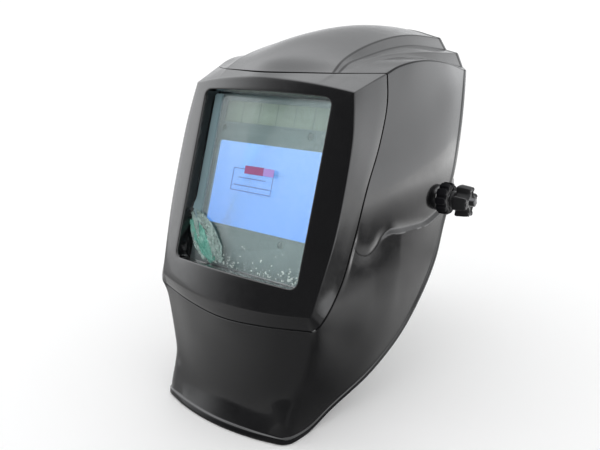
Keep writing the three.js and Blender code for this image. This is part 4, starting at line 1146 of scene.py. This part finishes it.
for side_name, side in SIDES:
    collar_node, knob_node = f"outer_collar_{side_name}", f"tension_knob_{side_name}"
    collar = pivot_solid(f"collar_wheel_{side_name}", toothed_outline(COLLAR_REACH, 1.5, 10), side,
                         COLLAR_LEVELS, bore=3.4)
    finish_mesh(collar, COLLAR, collar_node)
    grip = pivot_solid(f"knob_grip_{side_name}", grip_outline(GRIP_REACH, 5.2, 6.6), side,
                       GRIP_LEVELS, bore=3.35)
    finish_mesh(grip, KNOB, knob_node)
    hub = pivot_solid(f"knob_hub_{side_name}", circle_outline(6.3), side, HUB_LEVELS, bore=3.35)
    finish_mesh(hub, KNOB, knob_node, replaces=False)
    bolt = refine(f"pivot_bolt_{side_name}", BOLT, bevel=0.5)
    for piece in (collar, grip, hub, bolt):
        piece.visible_glossy = False  # no mirror shows these pieces, neither the shell nor the knob's other parts; the knob's and collar's low gloss paints in their shade instead
    refine(f"spacer_washer_{side_name}", GREY, bevel=0.25)
    refine(f"stop_washer_{side_name}", SATIN, bevel=0.25)
    # A raised seat that the collar bears on, part of the shell moulding.
    seat = pivot_solid(f"pivot_seat_{side_name}", circle_outline(9.5, 64), side, SEAT_LEVELS, bore=3.6)
    finish_mesh(seat, BLACK, "shell", replaces=False)

# ---------------------------------------------------------------- headgear
for node, material, bevel in (
    ("headband", HEADGEAR, 0.45), ("crown_pin", GREY, 0.4), ("ratchet_base", HEADGEAR, 0.4),
    ("ratchet_cover", HEADGEAR, 0.8), ("ratchet_pinion", GREY, 0.2), ("ratchet_knob", HEADGEAR, 0.9),
    *both_sides(("crown_strap", HEADGEAR, 0.35), ("rear_strap", HEADGEAR, 0.35), ("side_arm", HEADGEAR, 0.6),
                ("arm_rivet", STEEL, 0.5), ("rack", GREY, 0.25)),
):
    refine(node, material, bevel)
spring = NODES["ratchet_spring"]
spring.data.materials.clear()
spring.data.materials.append(STEEL)


# ---------------------------------------------------------------- padded fabric
# The headband's ellipse: half its width and length, its centre's y, and its height in front and behind.
BAND_HALF = 72.0
BAND_LENGTH = 86.0
BAND_CENTRE = 150.0
BAND_FRONT_Z = 28.0
BAND_REAR_Z = -53.0
PAD_SHRINK = 0.9
PAD_VOXEL = 2.2
PAD_PRESSURE = 4
PAD_REACH = 5  # the furthest that a point may be blown out
PAD_FRAMES = 20
PAD_GROOVE = 0.9


def blow_up(obj):
    """Where a short cloth run with inner pressure takes the points of `obj`."""
    cloth = obj.modifiers.new("cloth", "CLOTH")
    for key, value in dict(quality=6, mass=0.2, tension_stiffness=12, compression_stiffness=12,
                           bending_stiffness=0.4, use_pressure=True,
                           uniform_pressure_force=PAD_PRESSURE).items():
        setattr(cloth.settings, key, value)
    cloth.settings.effector_weights.gravity = 0
    cloth.point_cache.frame_start, cloth.point_cache.frame_end = 1, PAD_FRAMES
    scene = bpy.context.scene
    for step in range(1, PAD_FRAMES + 1):
        scene.frame_set(step)
    graph = bpy.context.evaluated_depsgraph_get()
    blown = np.array([v.co for v in obj.evaluated_get(graph).data.vertices])
    obj.modifiers.clear()
    scene.frame_set(1)
    return blown


def cloth_pad(node):
    """A foam pad under cloth: the CAD solid drawn in, blown up and kept near its place."""
    obj = new_object(node + "_cloth", NODES[node].data.copy())
    obj.data.materials.clear()
    with editing(obj.data) as bm:
        bmesh.ops.remove_doubles(bm, verts=bm.verts, dist=WELD)
    apply_modifier(obj, "REMESH", mode="VOXEL", voxel_size=PAD_VOXEL * MM, use_smooth_shade=True)
    rest = np.array([v.co for v in obj.data.vertices])
    normals = np.array([v.normal for v in obj.data.vertices])
    drawn_in = rest - normals * PAD_SHRINK * MM
    obj.data.vertices.foreach_set("co", drawn_in.ravel())
    moved = blow_up(obj) - drawn_in
    size = np.linalg.norm(moved, axis=1, keepdims=True)
    moved *= np.minimum(1, PAD_REACH * MM / np.maximum(size, 1e-9))
    obj.data.vertices.foreach_set("co", (drawn_in + moved).ravel())
    apply_modifier(obj, "SUBSURF", levels=1, render_levels=1)
    return obj


def band_distance(points):
    """How far points lie outside the band's inner face and above its middle, the way out, and the angle."""
    p = points / MM - ORIGIN
    y = p[:, 1] - BAND_CENTRE
    angle = np.arctan2(y / BAND_LENGTH, p[:, 0] / BAND_HALF)
    on_band = np.column_stack([BAND_HALF * np.cos(angle), BAND_CENTRE + BAND_LENGTH * np.sin(angle)])
    outward = unit(np.column_stack([np.cos(angle) / BAND_HALF, np.sin(angle) / BAND_LENGTH]))
    out = ((p[:, :2] - on_band) * outward).sum(1)
    middle = np.interp(y, [-BAND_LENGTH, BAND_LENGTH], [BAND_FRONT_Z, BAND_REAR_Z])
    return out, p[:, 2] - middle, outward, angle


def sew_pad(obj, face, seam_height, channels):
    """Keeps a pad's back flat at `face`, and draws in its edge seams and its sewn channels."""
    points = np.array([v.co for v in obj.data.vertices])
    out, height, outward, angle = band_distance(points)
    seam = np.exp(-((np.abs(height) - seam_height) / 1.1) ** 2)
    for channel in channels:
        across_mm = (angle - channel) * (BAND_HALF + BAND_LENGTH) / 2
        seam = np.maximum(seam, np.exp(-(across_mm / 1.2) ** 2))
    inner = smoothstep(face - 2.0, face - 5.0, out)
    move = np.minimum(face - out, 0) + PAD_GROOVE * seam * inner
    points[:, :2] += outward * move[:, None] * MM
    obj.data.vertices.foreach_set("co", points.ravel())
    obj.data.update()
    for polygon in obj.data.polygons:
        polygon.use_smooth = True


for node, face, seam_height, channels in (
    ("sweatband", -1.3, 10.6, [-math.pi / 2 + k * 0.52 for k in (-1.5, -0.5, 0.5, 1.5)]),
    ("nape_pad", -2.1, 13.5, [math.pi / 2 + k * 0.34 for k in (-1, 0, 1)]),
):
    pad = cloth_pad(node)
    sew_pad(pad, face, seam_height, channels)
    finish_mesh(pad, FABRIC, node)

# ---------------------------------------------------------------- camera, light and floor
SKY = (0, 0, 1)
HORIZON = (0.08, 0.45)


def studio():
    """Even light for what it lights, and a room for what it mirrors: bright to the sides and behind,
    calmer overhead and dark where the camera stands."""
    g = Graph("studio", world=True)
    bpy.context.scene.world = g.owner

    def facing(direction, low, high, dim, bright):
        share = g.dot(g.coordinates["Generated"], Vector(direction).normalized())
        return g.ramp(share, dim, bright, start=low, end=high, interpolation="SMOOTHSTEP")

    horizon = facing(SKY, *HORIZON, 2.5, 0.0)
    overhead = g.math("MULTIPLY", facing(SKY, *HORIZON, 0.0, 1.0),
                      facing((-0.7, -0.2, 0.69), 0.2, 0.85, 1.45, 2.85))
    camera_side = facing((-0.05, -0.97, 0.1), 0.40, 0.92, 1.0, 0.045)
    back_left = facing((-0.58, 0.80, 0.13), 0.55, 0.97, 1.0, 0.38)
    room = g.math("MULTIPLY", g.math("ADD", horizon, overhead), g.math("MULTIPLY", camera_side, back_left))
    g.by_ray(g.shade("ShaderNodeBackground", Color=(1, 1, 1), Strength=1.08),
             g.shade("ShaderNodeBackground", Color=(0.975, 0.985, 1.0), Strength=room))


def floor():
    """A pale table. What the object mirrors of it is brighter to the right and behind, as the room is."""
    obj = new_object("floor", bpy.data.meshes.new("floor"))
    obj.location = (0, 0, CAD_BOX[0][2] - 0.0002)
    with editing(obj.data) as bm:
        bmesh.ops.create_grid(bm, x_segments=2, y_segments=2, size=4)
    g = Graph("floor")
    tone = g.mix(g.noise(300), (0.95, 0.95, 0.952), (0.965, 0.965, 0.965))
    table = g.surface(Base_Color=tone, Roughness=0.6)
    direction = g.add("ShaderNodeVectorMath", operation="NORMALIZE")
    g.link(g.mm, direction.inputs[0])

    def facing(towards, low, high, dim, bright):
        return g.ramp(g.dot(direction.outputs[0], towards), dim, bright, start=low, end=high)

    reach = g.dot(g.mm, (0.8, 0.6, 0))
    far = g.ramp(reach, 0.24, 2.4, start=600, end=1500)
    beside = g.math("MULTIPLY", g.ramp(reach, 0.0, 0.75, start=20, end=200),
                    g.ramp(reach, 1.0, 0.0, start=250, end=450))
    left = facing((-0.8, -0.6, 0), -0.1, 0.9, 0.0, 0.55)
    behind = facing((0.3, 0.954, 0), 0.70, 1.0, 0.0, 1.6)
    front = facing((0.40, -0.917, 0), 0.55, 0.95, 1.0, 0.5)
    glow = g.math("MULTIPLY", g.math("ADD", far, beside, left, behind), front)
    g.by_ray(table, g.shade("ShaderNodeEmission", Color=(1, 1, 1), Strength=glow))
    obj.data.materials.append(g.owner)


CAMERA_PLACE = (297.27, -333.19, 100.84)
CAMERA_DIRECTION = (-0.58246, 0.76222, -0.28241)


def camera():
    data = bpy.data.cameras.new("camera")
    data.sensor_width, data.lens = 36, 39.0
    obj = new_object("camera", data)
    obj.location = to_row(CAMERA_PLACE)
    obj.rotation_mode = "QUATERNION"
    obj.rotation_quaternion = Vector(CAMERA_DIRECTION).to_track_quat("-Z", "Y")
    bpy.context.scene.camera = obj


studio()
floor()
camera()
bpy.context.scene.view_settings.view_transform = "Standard"
